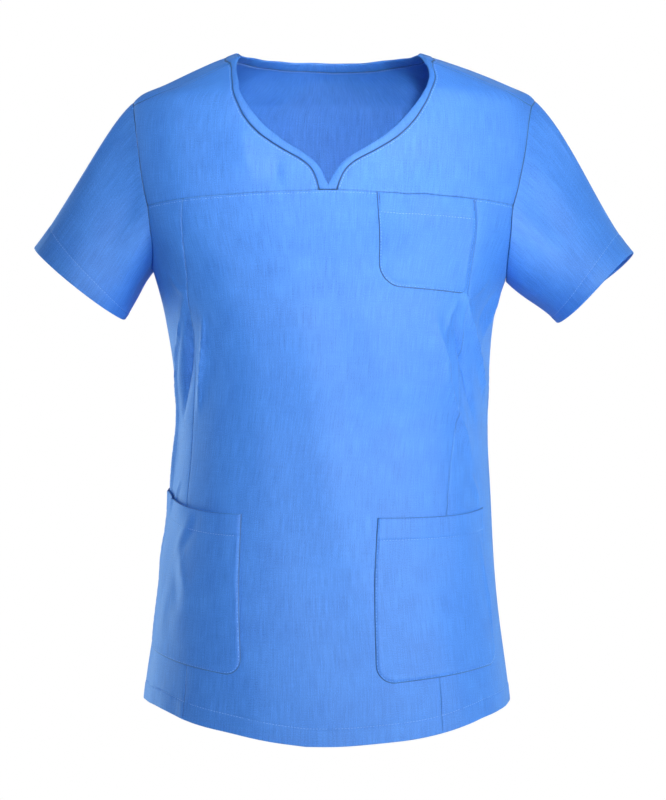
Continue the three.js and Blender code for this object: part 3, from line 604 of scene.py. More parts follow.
def cloth_piece(node, outline_places, lift_at, hem=None, hem_depth=0):
    """A cut piece on the form: outer layer, inner layer and the edge between them."""
    hem_on_map = None if hem is None else to_map(hem)
    on_map, faces, rim = cut_out(to_map(outline_places), hem_on_map, hem_depth)
    turn, height = from_map(on_map)
    distance, _, _ = nearest_on(closed(to_map(outline_places)), on_map)
    rolled = roll_under(distance)
    thickness = np.full(len(turn), CLOTH_THICKNESS)
    blend = 0
    if hem is not None:
        from_hem, along = from_line(hem, on_map)
        blend = np.exp(-((from_hem / 2.0) ** 2))
        rolled = rolled * (1 - blend) + blend * np.where(from_hem < 0.6, -0.35 * (1 - from_hem / 0.6), 0)
        rolled = rolled + hemmed(from_hem, along, hem_depth)
        thickness = thickness + (HEM_THICKNESS - CLOTH_THICKNESS) / (1 + np.exp((from_hem - hem_depth) / 0.4))
    lift = rolled + lift_at(on_map, turn, height)
    outer, normal = cloth_point(turn, height, lift)
    flat_lift = lift - rolled
    inner_base, _ = cloth_point(turn, height, flat_lift)
    inner = inner_base - normal * thickness[:, None]
    count = len(outer)
    following = np.roll(rim, -1)
    edge = np.stack([following, rim, rim + count], axis=1)
    edge_too = np.stack([following, rim + count, following + count], axis=1)
    all_faces = np.concatenate([faces, faces[:, ::-1] + count, edge, edge_too])
    uvs = np.tile(np.stack([on_map[:, 0], on_map[:, 1]], axis=1) * MM, (2, 1))
    # Painted shade along the piece's seams.
    shade = np.tile(seam_shade(on_map, distance, blend), 2)
    obj = add_mesh(node + "_cloth", np.concatenate([outer, inner]), all_faces, uvs, shade)
    tidy_normals(obj)
    pieces[node] = obj
    print(node, len(obj.data.polygons), "faces, cloth area", round(area_of(obj) / 2, 4), "square metres")
    return obj


# %% [markdown]
# ## Front, sides and yokes
# The centre front hangs from the yokes between the two princess seams. The yoke seam is
# topstitched on the lower side, and the neck seam on the yoke's side.

# %% Cutting the front pieces
YOKE_STITCH = 2.4
NECK_STITCH = 2.2
BODY_HEM_DEPTH = 17
whole_yoke_seam = joined(
    mirrored(yoke_outer)[::-1], mirrored(yoke_inner)[::-1],
    np.array([[-NECK_POINT_TURN, -122.1], [0, -122.0]]),
    yoke_inner, yoke_outer)


def below_yoke(on_map, turn, height):
    distance, along = from_line(whole_yoke_seam, on_map)
    return topstitched(distance, along, YOKE_STITCH)


def on_yoke(side):
    neck = neck_front if side > 0 else mirrored(neck_front)

    def lift(on_map, turn, height):
        distance, along = from_line(neck, on_map)
        return topstitched(distance, along, NECK_STITCH, 0.25)

    return lift


reach = {side: princess[side][0][0] for side in (1, -1)}
front_hem = along_turns(-reach[-1], reach[1], hem_height, 100)
beside_notch = float(yoke_height(2.3))
under_notch = np.array([
    [-NECK_POINT_TURN, beside_notch], [0, YOKE_CENTRE_HEIGHT], [NECK_POINT_TURN, beside_notch]])
front_top = joined(mirrored(yoke_inner)[::-1], under_notch, yoke_inner)
front_outline = joined(front_hem, princess[1], front_top[::-1], mirrored(princess[-1])[::-1])[:-1]
cloth_piece("front_centre", front_outline, below_yoke, front_hem, BODY_HEM_DEPTH)

for side, name in ((1, "left"), (-1, "right")):
    hem = along_turns(reach[side], SIDE_TURN, lambda turn: hem_height(side * turn), 50)
    outline = joined(
        hem, side_seam[side], armhole_side[side][::-1], yoke_outer[::-1], princess[side][::-1])[:-1]
    yoke_outline = joined(yoke_inner, yoke_outer, armhole_yoke, shoulder_seam[::-1], neck_front[::-1])[:-1]
    if side < 0:
        outline, hem, yoke_outline = mirrored(outline)[::-1], mirrored(hem), mirrored(yoke_outline)[::-1]
    cloth_piece("front_side_" + name, outline, below_yoke, hem, BODY_HEM_DEPTH)
    cloth_piece("yoke_" + name, yoke_outline, on_yoke(side))

# %% [markdown]
# ## The back
# The back yoke wraps over both shoulders to the seams in front of them, and the back hangs from
# it. Each outline runs once round. The seam between them lies level with the front one, so it is
# out of sight from the front.

# %% Cutting the back
BACK_YOKE_END_TURN, BACK_YOKE_END_HEIGHT, BACK_YOKE_CENTRE_HEIGHT = 117, -112, -127


def back_yoke_height(turn):
    from_middle = (180 - turn) / (180 - BACK_YOKE_END_TURN)
    return BACK_YOKE_CENTRE_HEIGHT + (BACK_YOKE_END_HEIGHT - BACK_YOKE_CENTRE_HEIGHT) * from_middle**2


armhole_low, armhole_high = {}, {}
for side, line in armhole_back.items():
    meets = int(np.abs(line - [BACK_YOKE_END_TURN, BACK_YOKE_END_HEIGHT]).sum(axis=1).argmin())
    line[meets] = BACK_YOKE_END_TURN, BACK_YOKE_END_HEIGHT
    armhole_low[side], armhole_high[side] = line[: meets + 1], line[meets:]

back_hem = along_turns(SIDE_TURN, 360 - SIDE_TURN, hem_height, 200)
back_yoke_seam = along_turns(BACK_YOKE_END_TURN, 360 - BACK_YOKE_END_TURN, back_yoke_height, 140)
back_outline = joined(
    back_hem,
    round_the_back(joined(side_seam[-1], armhole_low[-1])),
    back_yoke_seam[::-1],
    joined(side_seam[1], armhole_low[1])[::-1],
)[:-1]
over_shoulder = {side: joined(armhole_high[side], shoulder_seam[::-1], neck_back) for side in (1, -1)}
back_yoke_outline = joined(back_yoke_seam, round_the_back(over_shoulder[-1]), over_shoulder[1][::-1])[:-1]
whole_neck_back = joined(neck_back, round_the_back(neck_back)[::-1])


def below_back_yoke(on_map, turn, height):
    distance, along = from_line(back_yoke_seam, on_map)
    return topstitched(distance, along, YOKE_STITCH)


def below_back_neck(on_map, turn, height):
    distance, along = from_line(whole_neck_back, on_map)
    return topstitched(distance, along, NECK_STITCH, 0.25)


cloth_piece("back", back_outline, below_back_yoke, back_hem, BODY_HEM_DEPTH)
cloth_piece("back_yoke", back_yoke_outline, below_back_neck)

# %% [markdown]
# ## Sleeves
# A set-in sleeve is a tube sewn into the armhole. Each line of the tube starts along the slope of
# the shoulder or straight under the arm, and ends square to the open cuff. A smooth curve between
# two ends with given directions does both, and gives the same sleeve as the solid.

# %% Sleeve shapes
CUFFS = {
    1: dict(middle=(262, -4, -212.5), half_width=51, half_depth=53, slope=42.2,
            droop=-1, wave=-2.5, cap_reach=0.9),
    -1: dict(middle=(-252.7, -4, -207.8), half_width=57, half_depth=47, slope=38.9,
             droop=4.3, wave=0, cap_reach=0.62),
}
CUFF_PULL = 0.85
CAP_EVENING_ROUNDS = 8
SLEEVE_HEM_DEPTH = 16
SLEEVE_ROWS = 44
COARSE_STEPS = (9, 6, 10)
FINE = 8
# Folds of the sleeves: place round the sleeve in degrees, from and to along it, width, rise.
SLEEVE_FOLDS = {
    1: [
        (62, 0.0, 0.62, 11, 1.5), (88, 0.05, 0.8, 9, -1.2), (112, 0.0, 0.55, 9, 1.3),
        (140, 0.1, 0.7, 12, 1.0), (-118, 0.0, 0.6, 11, 1.5), (-88, 0.1, 0.75, 10, -1.0),
        (-62, 0.0, 0.5, 12, 1.2), (20, 0.3, 1.1, 16, 0.8),
    ],
    -1: [
        (70, 0.0, 0.5, 12, 1.0), (98, 0.05, 0.6, 10, -1.0), (124, 0.0, 0.55, 10, 1.3),
        (150, 0.1, 0.8, 12, 0.9), (-112, 0.0, 0.6, 11, 1.5), (-84, 0.1, 0.75, 10, -1.0),
        (-55, 0.0, 0.5, 12, 1.2), (30, 0.35, 1.1, 18, 0.8),
    ],
}


def ring_angles(points):
    """0 at the highest point, 180 at the lowest, positive in front and negative behind."""
    count, top, bottom = len(points), points[:, 2].argmax(), points[:, 2].argmin()
    angles = np.zeros(count)
    for step in (1, -1):
        steps = (bottom - top) * step % count
        index = (top + step * np.arange(steps + 1)) % count
        length = np.concatenate([[0], np.cumsum(np.linalg.norm(np.diff(points[index], axis=0), axis=1))])
        angles[index] = step * np.pi * length / length[-1]
    return angles


def armhole_ring(side, fine):
    parts = (
        even_places(ARMHOLE_YOKE, COARSE_STEPS[0] * fine)[::-1],
        even_places(lifted(ARMHOLE_SIDE, side), COARSE_STEPS[1] * fine),
        even_places(lifted(ARMHOLE_BACK, side), COARSE_STEPS[2] * fine),
    )
    return joined(*parts)[:-1] * np.array([side, 1])


def leaving_directions(side):
    """Which way the cloth leaves the armhole, at the solid's own steps."""
    turn, height = armhole_ring(side, 1).T
    normal = form_normal(turn, height)
    point = form_point(turn, height) + normal * fold_rise(turn, height)[:, None]
    along = np.roll(point, -1, axis=0) - np.roll(point, 1, axis=0)
    out = unit(-side * np.cross(along, normal))
    for _ in range(CAP_EVENING_ROUNDS):
        out = unit(out + np.roll(out, 1, axis=0) + np.roll(out, -1, axis=0))
    return out


def sleeve_surface(side):
    """A function of (round, along) that gives points of the sleeve, its ring angles and lengths."""
    cuff = CUFFS[side]
    turn, height = armhole_ring(side, FINE).T
    start_point, _ = cloth_point(turn, height)
    angle = ring_angles(start_point)
    coarse = leaving_directions(side)
    steps = np.arange(len(turn)) / FINE
    wrapped = np.concatenate([coarse, coarse[:1]])
    out = unit(np.stack([np.interp(steps, np.arange(len(wrapped)), wrapped[:, k]) for k in range(3)], axis=1))
    for _ in range(30):
        out = unit(out + np.roll(out, 1, axis=0) + np.roll(out, -1, axis=0))
    slope = math.radians(cuff["slope"])
    across = np.array([side * math.cos(slope), 0, math.sin(slope)])
    axis = np.array([side * math.sin(slope), 0, -math.cos(slope)])
    end = np.array(cuff["middle"]) + np.outer(np.cos(angle), across) * cuff["half_width"]
    end = end + np.outer(np.sin(angle), [0, -1, 0]) * cuff["half_depth"]
    end = end + np.outer(cuff["droop"] * np.sin(angle) + cuff["wave"] * np.sin(2 * angle), axis)
    length = np.linalg.norm(start_point - end, axis=1)
    flare = (1 + np.cos(angle)) / 2
    start_reach = length * (1 - (1 - cuff["cap_reach"]) * flare)
    start_pull = unit(axis + (out - axis) * flare[:, None]) * start_reach[:, None]
    end_pull = axis * (length * CUFF_PULL)[:, None]

    def rows(share):
        t = share[..., None, None]
        rest = 1 - t
        return (
            start_point * (1 + 2 * t) * rest**2 + start_pull * t * rest**2
            + end * t**2 * (3 - 2 * t) - end_pull * t**2 * rest
        )

    return rows, angle, length


def grid_normals(grid):
    """Directions out of a closed ring of rows."""
    round_it = np.roll(grid, -1, axis=1) - np.roll(grid, 1, axis=1)
    down = np.gradient(grid, axis=0)
    return unit(np.cross(round_it, down))


def sleeve_cloth(side):
    """The sleeve's outer face: its grid of points and normals, and how far each row is from both ends."""
    rows, angle, length = sleeve_surface(side)
    mean = float(length.mean())
    hem = SLEEVE_HEM_DEPTH / mean / CUFF_PULL
    share = np.concatenate([
        np.array([0, 0.5, 1.1, 2.0, 3.2]) / mean,
        np.linspace(5 / mean, 1 - hem - 4 / mean, SLEEVE_ROWS),
        1 - np.array([19, 17.8, 17, 16.2, 15, 12, 8, 4.5, 2.4, 1.1, 0.35, 0]) / mean / CUFF_PULL,
    ])
    grid = rows(share)
    normal = grid_normals(grid)
    if (normal[len(share) // 2] * (grid[len(share) // 2] - grid[len(share) // 2].mean(axis=0))).sum() < 0:
        normal = -normal
    from_top = share[:, None] * np.ones(len(angle))
    to_cuff = (1 - share)[:, None] * mean * CUFF_PULL * np.ones(len(angle))
    return grid, normal, np.degrees(angle), from_top, to_cuff, mean


def sleeve_rise(side, degrees, from_top, to_cuff, mean):
    """Folds, seam and hem of a sleeve, as a height over its smooth form."""
    radius = 50
    total = np.zeros(from_top.shape)
    for at, start, stop, width, rise in SLEEVE_FOLDS[side]:
        away = wrap_turn(degrees - at) * np.pi / 180 * radius / width
        along = np.clip((from_top - start) / (stop - start), 0, 1)
        total += rise * np.exp(-(away**2)) * np.sin(np.pi * along) ** 0.8
    angle = np.radians(degrees)
    waves = np.sin(angle * 3 + from_top * 4) + np.sin(angle * 5 - from_top * 7 + 1)
    total += 0.3 * waves * np.sin(np.pi * np.clip(from_top * 1.2, 0, 1))
    along_mm = np.radians(degrees) * radius
    total += roll_under(from_top * mean)
    total += hemmed(to_cuff, along_mm, SLEEVE_HEM_DEPTH) - 0.35 * np.clip(1 - to_cuff / 0.6, 0, 1)
    return total


for side, name in ((1, "left"), (-1, "right")):
    grid, normal, degrees, from_top, to_cuff, mean = sleeve_cloth(side)
    rise = sleeve_rise(side, degrees[None, :], from_top, to_cuff, mean)
    hem_share = 1 / (1 + np.exp((to_cuff - SLEEVE_HEM_DEPTH) / 0.4))
    thickness = CLOTH_THICKNESS + (HEM_THICKNESS - CLOTH_THICKNESS) * hem_share
    outer = grid + normal * rise[..., None]
    rolled = roll_under(from_top * mean) - 0.35 * np.clip(1 - to_cuff / 0.6, 0, 1)
    inner = grid + normal * (rise - rolled - thickness)[..., None]
    count_rows, count_round = rise.shape
    index = np.arange(count_rows * count_round).reshape(rise.shape)
    after = np.roll(index, -1, axis=1)
    outward = np.cross(outer[1, 1] - outer[1, 0], outer[2, 0] - outer[1, 0]) @ normal[1, 0] > 0
    quads = np.stack([index[:-1], after[:-1], after[1:], index[1:]], axis=-1).reshape(-1, 4)
    total = count_rows * count_round
    ends = np.concatenate([
        np.stack([after[0], index[0], index[0] + total, after[0] + total], axis=-1),
        np.stack([index[-1], after[-1], after[-1] + total, index[-1] + total], axis=-1),
    ])
    faces = np.concatenate([quads, quads[:, ::-1] + total, ends])
    if not outward:
        faces = faces[:, ::-1]
    uv = np.stack([np.broadcast_to(np.radians(degrees) * 0.05, rise.shape), -from_top * mean * MM], axis=-1)
    uvs = np.tile(uv.reshape(-1, 2), (2, 1))
    # Painted shade along the armhole seam at the top of the sleeve.
    shade = np.tile(np.exp(-((from_top * mean / SEAM_SHADE_REACH) ** 2)).ravel(), 2)
    points = np.concatenate([outer.reshape(-1, 3), inner.reshape(-1, 3)])
    obj = add_mesh("sleeve_" + name + "_cloth", points, faces, uvs, shade)
    tidy_normals(obj)
    pieces["sleeve_" + name] = obj
    print("sleeve", name, len(faces), "faces, cloth area", round(area_of(obj) / 2, 4), "square metres")

# %% [markdown]
# ## Neckband
# The neck is finished with a folded strip, pressed flat and turned at the notch. It stands a
# little proud of the yokes. Its section is drawn once, as shares of its width and heights, and
# carried round the neck from the notch, up the left front, round the back and down the right.

# %% The neckband
BAND_SECTION = [
    # share of the width, height over the form
    (0.0, -0.55), (0.03, 0.15), (0.1, 0.62), (0.3, 0.8), (0.55, 0.85), (0.8, 0.78), (0.93, 0.5), (1.0, -0.1),
    (1.0, -0.8), (0.93, -1.35), (0.75, -1.6), (0.4, -1.6), (0.12, -1.5), (0.03, -1.15),
]
BAND_STEPS = (4, 96, 108)
neck_line_half = joined(
    np.array([[0.0, YOKE_CENTRE_HEIGHT], [1.2, YOKE_CENTRE_HEIGHT], [2.3, -122.1]]),
    even_places(NECK_SEAM_FRONT, BAND_STEPS[1]), even_places(NECK_SEAM_BACK, BAND_STEPS[2]),
)


def at_shares(line, shares):
    scale = np.array([CHART_MM_PER_DEGREE, 1])
    fine = smooth_line(np.array(line, float), 60 * (len(line) - 1) + 1) * scale
    lengths = np.concatenate([[0], np.cumsum(np.linalg.norm(np.diff(fine, axis=0), axis=1))])
    wanted = shares * lengths[-1]
    return np.stack([np.interp(wanted, lengths, fine[:, k]) for k in range(2)], axis=1) / scale


def shares_of(line):
    steps = np.linalg.norm(np.diff(line * np.array([CHART_MM_PER_DEGREE, 1]), axis=0), axis=1)
    lengths = np.concatenate([[0], np.cumsum(steps)])
    return lengths / lengths[-1]


neck_edge_half = at_shares(NECK_EDGE, shares_of(neck_line_half))
band_seam = joined(neck_line_half, round_the_back(neck_line_half)[::-1])
band_edge = joined(neck_edge_half, round_the_back(neck_edge_half)[::-1])
share_across = np.array([share for share, _ in BAND_SECTION])[:, None, None]
band_places = band_seam[None] * (1 - share_across) + band_edge[None] * share_across
band_lift = np.array([height for _, height in BAND_SECTION])[:, None]
band_points, band_normals = cloth_point(band_places[..., 0], band_places[..., 1], np.broadcast_to(
    band_lift, band_places.shape[:2]))
along_band = np.arange(band_places.shape[1])
uneven = 0.12 * np.sin(along_band * 0.9) + 0.08 * np.sin(along_band * 0.37)
band_points = band_points + band_normals * uneven[None, :, None] * (share_across < 0.5)
section, steps = band_places.shape[:2]
index = np.arange(section * steps).reshape(section, steps)
after = np.roll(index, -1, axis=0)
quads = np.stack([index[:, :-1], index[:, 1:], after[:, 1:], after[:, :-1]], axis=-1).reshape(-1, 4)
band_faces = [list(map(int, quad)) for quad in quads]
band_faces += [index[:, 0].tolist(), index[::-1, -1].tolist()]
across_band = np.cumsum(np.abs(np.diff(share_across[:, 0, 0], prepend=0)))[:, None] * 0.009
band_uv = np.stack([
    np.broadcast_to(along_band * 0.0027, (section, steps)),
    np.broadcast_to(across_band, (section, steps)),
], axis=-1)
# Painted shade along the band's seam to the yokes.
band_shade = np.broadcast_to(np.exp(-((share_across[..., 0] / 0.07) ** 2)), (section, steps)).ravel()
neckband = add_mesh(
    "neckband_cloth", band_points.reshape(-1, 3), band_faces, band_uv.reshape(-1, 2), band_shade)
tidy_normals(neckband)
pieces["neckband"] = neckband
print("neckband", len(band_faces), "faces, cloth area", round(area_of(neckband) / 2, 4), "square metres")

# %% [markdown]
# ## Patch pockets
# A patch pocket is a flat piece sewn onto the front along its sides and bottom. It follows the
# cloth beneath it, stands about a millimetre proud, and its open top edge bows out a little
# more. Its top hem is turned in and stitched across.

# %% The pockets
POCKET_COLUMNS = ["side", "inner_top", "outer_top", "inner_bottom", "outer_bottom", "inner_top_height",
                  "outer_top_height", "inner_bottom_height", "outer_bottom_height", "inner_corner",
                  "outer_corner", "top_curve", "hem_depth", "mouth"]
POCKETS = {
    "pocket_chest": [1, 13.3, 44.2, 17, 52, -123.6, -129.5, -215, -222, 21, 10, 1, 20, 0.7],
    "pocket_left": [1, 24.1, 75.5, 21.3, 76, -436.3, -429, -595, -580, 19, 20, 3, 21, 1.6],
    "pocket_right": [-1, 24.1, 78, 20.8, 78, -433, -411, -588, -566, 19, 22, 2, 21, 2.2],
}
POCKET_PROUD = 1.15
POCKET_THICKNESS = 0.8
POCKET_STITCH = 1.7
MOUTH_FADE = 26
# Creases of a pocket: across and up as shares, from and to, width in millimetres, rise.
POCKET_CREASES = {
    "pocket_chest": [(0.2, 0.1, 0.75, 0.95, 14, 0.5), (0.85, 0.2, 0.6, 0.8, 12, -0.4)],
    "pocket_left": [
        (0.92, 0.84, 0.5, 0.96, 6, 0.9), (0.3, 0.05, 0.7, 0.9, 26, 0.9), (0.75, 0.2, 0.9, 0.8, 12, -0.5),
    ],
    "pocket_right": [
        (0.34, 0.98, 0.52, 0.7, 5, -1.2), (0.42, 0.96, 0.62, 0.66, 6, 1.3),
        (0.55, 0.72, 0.42, 0.42, 5, 1.1), (0.62, 0.62, 0.5, 0.3, 6, -1.0),
        (0.3, 0.66, 0.55, 0.16, 10, 0.8), (0.78, 0.9, 0.86, 0.3, 12, 1.2), (0.66, 0.5, 0.72, 0.12, 7, 1.0),
    ],
}


def pocket_frame(pocket, u, up):
    """Chart places of a pocket from its share across and its millimetres up."""
    mean = (pocket["inner_top_height"] + pocket["outer_top_height"] - pocket["inner_bottom_height"]
            - pocket["outer_bottom_height"]) / 2
    v = up / mean
    inner = pocket["inner_bottom"] + (pocket["inner_top"] - pocket["inner_bottom"]) * v
    outer = pocket["outer_bottom"] + (pocket["outer_top"] - pocket["outer_bottom"]) * v

    def drawn(radius):
        inside = np.maximum(radius**2 - (radius - np.minimum(up, radius)) ** 2, 0)
        return (radius - np.sqrt(inside)) / CHART_MM_PER_DEGREE

    low, high = inner + drawn(pocket["inner_corner"]), outer - drawn(pocket["outer_corner"])
    turn = low + (high - low) * u
    s = (turn - inner) / (outer - inner)
    fall = pocket["outer_bottom_height"] - pocket["inner_bottom_height"]
    bottom = pocket["inner_bottom_height"] + fall * s
    rise = pocket["outer_top_height"] - pocket["inner_top_height"]
    top = pocket["inner_top_height"] + rise * np.clip(s, 0, 1) ** pocket["top_curve"]
    return pocket["side"] * turn, bottom + (top - bottom) * v, mean


def pocket_lift(name, pocket, u, up, turn, height, outline):
    """How far a pocket's outer face stands over the cloth beneath it."""
    here = to_map(np.stack([turn, height], axis=-1))
    distance, _, along = nearest_on(outline, here)
    along_mm = along * np.linalg.norm(np.diff(outline, axis=0), axis=1).sum()
    below_top = pocket["mean"] - up
    lift = POCKET_PROUD * (1 - np.exp(-distance / 0.5)) + 0.12
    lift += 0.5 * np.exp(-(((distance - 3.6) / 2.0) ** 2))
    lift -= 0.35 * np.exp(-(((distance - POCKET_STITCH) / 0.7) ** 2))
    lift += 0.1 * np.sin(along_mm * 2 * np.pi / 8.7) * np.exp(-(((distance - 3) / 3) ** 2))
    lift += pocket["mouth"] * np.exp(-below_top / MOUTH_FADE) * np.sin(np.pi * np.clip(u, 0, 1)) ** 0.7
    lift += 0.55 / (1 + np.exp((below_top - pocket["hem_depth"]) / 0.5))
    lift -= 0.4 * np.exp(-(((below_top - pocket["hem_depth"]) / 0.8) ** 2))
    width = pocket["width"]
    for u0, v0, u1, v1, size, rise in POCKET_CREASES[name]:
        line = smooth_line([(u0 * width, v0 * pocket["mean"]), (u1 * width, v1 * pocket["mean"])], 8)
        away, _, share = nearest_on(line, np.stack([u * width, up], axis=-1))
        fade = np.clip(distance / 6, 0, 1)
        lift += rise * np.exp(-((away / size) ** 2)) * np.sin(np.pi * share) ** 0.7 * fade
    return lift


def pocket_outline(pocket):
    """Down one side, along the bottom and up the other, where the pocket is sewn on."""
    rounded = 24 * (1 - np.sin(np.linspace(0, np.pi / 2, 16)))
    heights = np.concatenate([np.linspace(pocket["mean"], 24, 60), rounded])
    down = np.stack(pocket_frame(pocket, np.zeros(len(heights)), heights)[:2], axis=1)
    across = np.linspace(0, 1, 60)
    bottom = np.stack(pocket_frame(pocket, across, np.zeros(60))[:2], axis=1)
    up_again = np.stack(pocket_frame(pocket, np.ones(len(heights)), heights[::-1])[:2], axis=1)
    return joined(down, bottom, up_again)


pocket_sewn = {}
for name, values in POCKETS.items():
    pocket = dict(zip(POCKET_COLUMNS, values))
    pocket["mean"] = pocket_frame(pocket, np.array(0.5), np.array(50.0))[2]
    corners = [cloth_point(pocket["side"] * pocket[k], -0.5 * (abs(pocket["inner_top_height"]) + abs(
        pocket["inner_bottom_height"])))[0] for k in ("inner_top", "outer_top")]
    pocket["width"] = float(np.linalg.norm(corners[0] - corners[1]))
    pocket["line"] = pocket_outline(pocket)
    pocket_sewn[name] = pocket
    edge = np.array([0, 0.5, 1.1, 1.8, 2.6]) / pocket["width"]
    middle = np.linspace(4 / pocket["width"], 1 - 4 / pocket["width"], int(pocket["width"] / 2.2))
    u = np.concatenate([edge, middle, 1 - edge[::-1]])
    corner = max(pocket["inner_corner"], pocket["outer_corner"])
    up = np.concatenate([corner * (1 - np.cos(np.linspace(0, np.pi / 2, 14))), np.linspace(
        corner + 2.2, pocket["mean"] - pocket["hem_depth"] - 2, int(pocket["mean"] / 2.4)),
        pocket["mean"] - np.array([22, 21.2, 20.4, 19.4, 18]) + 21 - pocket["hem_depth"],
        pocket["mean"] - np.array([15, 12, 9, 6, 3.5, 2, 1, 0.4, 0])])
    up = np.unique(np.round(np.sort(up), 3))
    grid_u, grid_up = np.meshgrid(u, up)
    turn, height, _ = pocket_frame(pocket, grid_u, grid_up)
    lift = pocket_lift(name, pocket, grid_u, grid_up, turn, height, to_map(pocket["line"]))
    below_top = pocket["mean"] - grid_up
    rolled = -0.5 * np.clip(1 - below_top / 1.2, 0, 1) ** 2
    outer, normal = cloth_point(turn, height, lift + rolled)
    wanted = POCKET_THICKNESS + 0.5 * (below_top < pocket["hem_depth"])
    thickness = np.minimum(wanted, np.maximum(lift - 0.02, 0.05))
    inner, _ = cloth_point(turn, height, lift - thickness)
    index = np.arange(turn.size).reshape(turn.shape)
    total = turn.size
    quads = np.stack([index[:-1, :-1], index[:-1, 1:], index[1:, 1:], index[1:, :-1]], axis=-1).reshape(-1, 4)
    rim = np.concatenate([index[0], index[1:, -1], index[-1, ::-1][1:], index[::-1, 0][1:-1]])
    follow = np.roll(rim, -1)
    edge_faces = np.stack([follow, rim, rim + total, follow + total], axis=1)
    faces = np.concatenate([quads, quads[:, ::-1] + total, edge_faces])
    if pocket["side"] < 0:
        faces = faces[:, ::-1]
    uv = np.tile(to_map(np.stack([turn, height], axis=-1)).reshape(-1, 2) * MM, (2, 1))
    # Painted shade along the pocket's sewn edges and open top, in place of the shadow under its edge.
    from_sewn, _, _ = nearest_on(to_map(pocket["line"]), to_map(np.stack([turn, height], axis=-1)))
    from_edge = np.minimum(from_sewn, below_top + 0.35)
    shade = np.tile(np.exp(-((from_edge / SEAM_SHADE_REACH) ** 2)).ravel(), 2)
    points = np.concatenate([outer.reshape(-1, 3), inner.reshape(-1, 3)])
    obj = add_mesh(name + "_cloth", points, faces, uv, shade)
    tidy_normals(obj)
    pieces[name] = obj
    print(name, len(faces), "faces, cloth area", round(area_of(obj) / 2, 4), "square metres")

# %% [markdown]
# ## Stitches
# Each stitch is a short bead of thread that dives into the cloth at both ends. One bead is drawn
# as a few rings, set along a line of the cloth at an even pitch, and all beads of a seam are
# joined in one object. The rows sit in the grooves that the seam profiles left for them.

# %% Rows of stitches
STITCH_LENGTH = 2.2
THREAD_RADIUS = 0.27
BEAD_RINGS = ((-0.5, 0.25, -0.25), (-0.34, 0.85, 0.0), (0.0, 1.0, 0.1), (0.34, 0.85, 0.0), (0.5, 0.25, -0.25))
BEAD_SIDES = 5


def even_samples(points, normals, pitch):
    """Places at an even pitch along a line of points, with the line's direction and the way out."""
    length = np.concatenate([[0], np.cumsum(np.linalg.norm(np.diff(points, axis=0), axis=1))])
    at = np.arange(pitch / 2, length[-1], pitch)
    place = np.stack([np.interp(at, length, points[:, k]) for k in range(3)], axis=1)
    out = unit(np.stack([np.interp(at, length, normals[:, k]) for k in range(3)], axis=1))
    ahead = np.stack([np.interp(at + 0.5, length, points[:, k]) for k in range(3)], axis=1)
    behind = np.stack([np.interp(at - 0.5, length, points[:, k]) for k in range(3)], axis=1)
    return place, unit(ahead - behind), out


def beads(place, along, out, length=STITCH_LENGTH, radius=THREAD_RADIUS, raised=0.0):
    """One closed bead of thread at each place."""
    sideways = np.cross(out, along)
    angle = np.linspace(0, 2 * np.pi, BEAD_SIDES, endpoint=False)
    rings = []
    for where, size, height in BEAD_RINGS:
        centre = place + along * where * length + out * (height * radius + raised)
        for a in angle:
            rings.append(centre + radius * size * (math.cos(a) * sideways + math.sin(a) * out))
    per = len(rings)
    points = np.stack(rings, axis=1).reshape(-1, 3)
    ring_index = np.arange(per).reshape(len(BEAD_RINGS), BEAD_SIDES)
    after = np.roll(ring_index, -1, axis=1)
    quads = np.stack([ring_index[:-1], ring_index[1:], after[1:], after[:-1]], axis=-1).reshape(-1, 4)
    one = [list(map(int, quad)) for quad in quads] + [ring_index[0].tolist(), ring_index[-1, ::-1].tolist()]
    faces = [[i + per * n for i in face] for n in range(len(place)) for face in one]
    return points, faces


def join_beads(name, sets):
    points, faces, start = [], [], 0
    for more_points, more_faces in sets:
        points.append(more_points)
        faces += [[i + start for i in face] for face in more_faces]
        start += len(more_points)
    obj = add_mesh(name, np.concatenate(points), faces)
    print(name, start // (len(BEAD_RINGS) * BEAD_SIDES), "stitches")
    return obj


def beside(line, distance):
    """A line of chart places moved sideways over the cloth by a distance, + to its left."""
    turn, height = line[:, 0], line[:, 1]
    point = form_point(turn, height)
    along = unit(np.gradient(point, axis=0))
    normal = form_normal(turn, height)
    move = np.cross(normal, along) * distance
    per_turn = (form_point(turn + 0.1, height) - form_point(turn - 0.1, height)) / 0.2
    per_height = (form_point(turn, height + 0.1) - form_point(turn, height - 0.1)) / 0.2
    a, b, d = (per_turn**2).sum(1), (per_turn * per_height).sum(1), (per_height**2).sum(1)
    p, q = (move * per_turn).sum(1), (move * per_height).sum(1)
    scale = a * d - b * b
    return np.stack([turn + (p * d - q * b) / scale, height + (q * a - p * b) / scale], axis=1)


def row_on_cloth(line, lift=-0.08, pitch=STITCH_PITCH, **kw):
    points, normals = cloth_point(line[:, 0], line[:, 1], lift)
    return beads(*even_samples(points, normals, pitch), **kw)


stitches = {}
yoke_row = beside(whole_yoke_seam, -YOKE_STITCH)
stitches["front_centre"] = join_beads("stitches_yoke_seam", [row_on_cloth(yoke_row)])
back_row = beside(back_yoke_seam, -YOKE_STITCH)
stitches["back"] = join_beads("stitches_back_yoke", [row_on_cloth(back_row)])
for side, name in ((1, "left"), (-1, "right")):
    line = neck_front if side > 0 else mirrored(neck_front)
    row = beside(line, -NECK_STITCH * side)[1:-1]
    stitches["yoke_" + name] = join_beads("stitches_neck_" + name, [row_on_cloth(row)])
back_neck_row = beside(whole_neck_back, -NECK_STITCH)[1:-1]
stitches["back_neck"] = join_beads("stitches_neck_back", [row_on_cloth(back_neck_row)])
hem_turns = np.linspace(-180, 180, 720)
hem_row = np.stack([hem_turns, hem_height(hem_turns) + BODY_HEM_DEPTH], axis=1)
stitches["hem"] = join_beads("stitches_hem", [row_on_cloth(hem_row)])

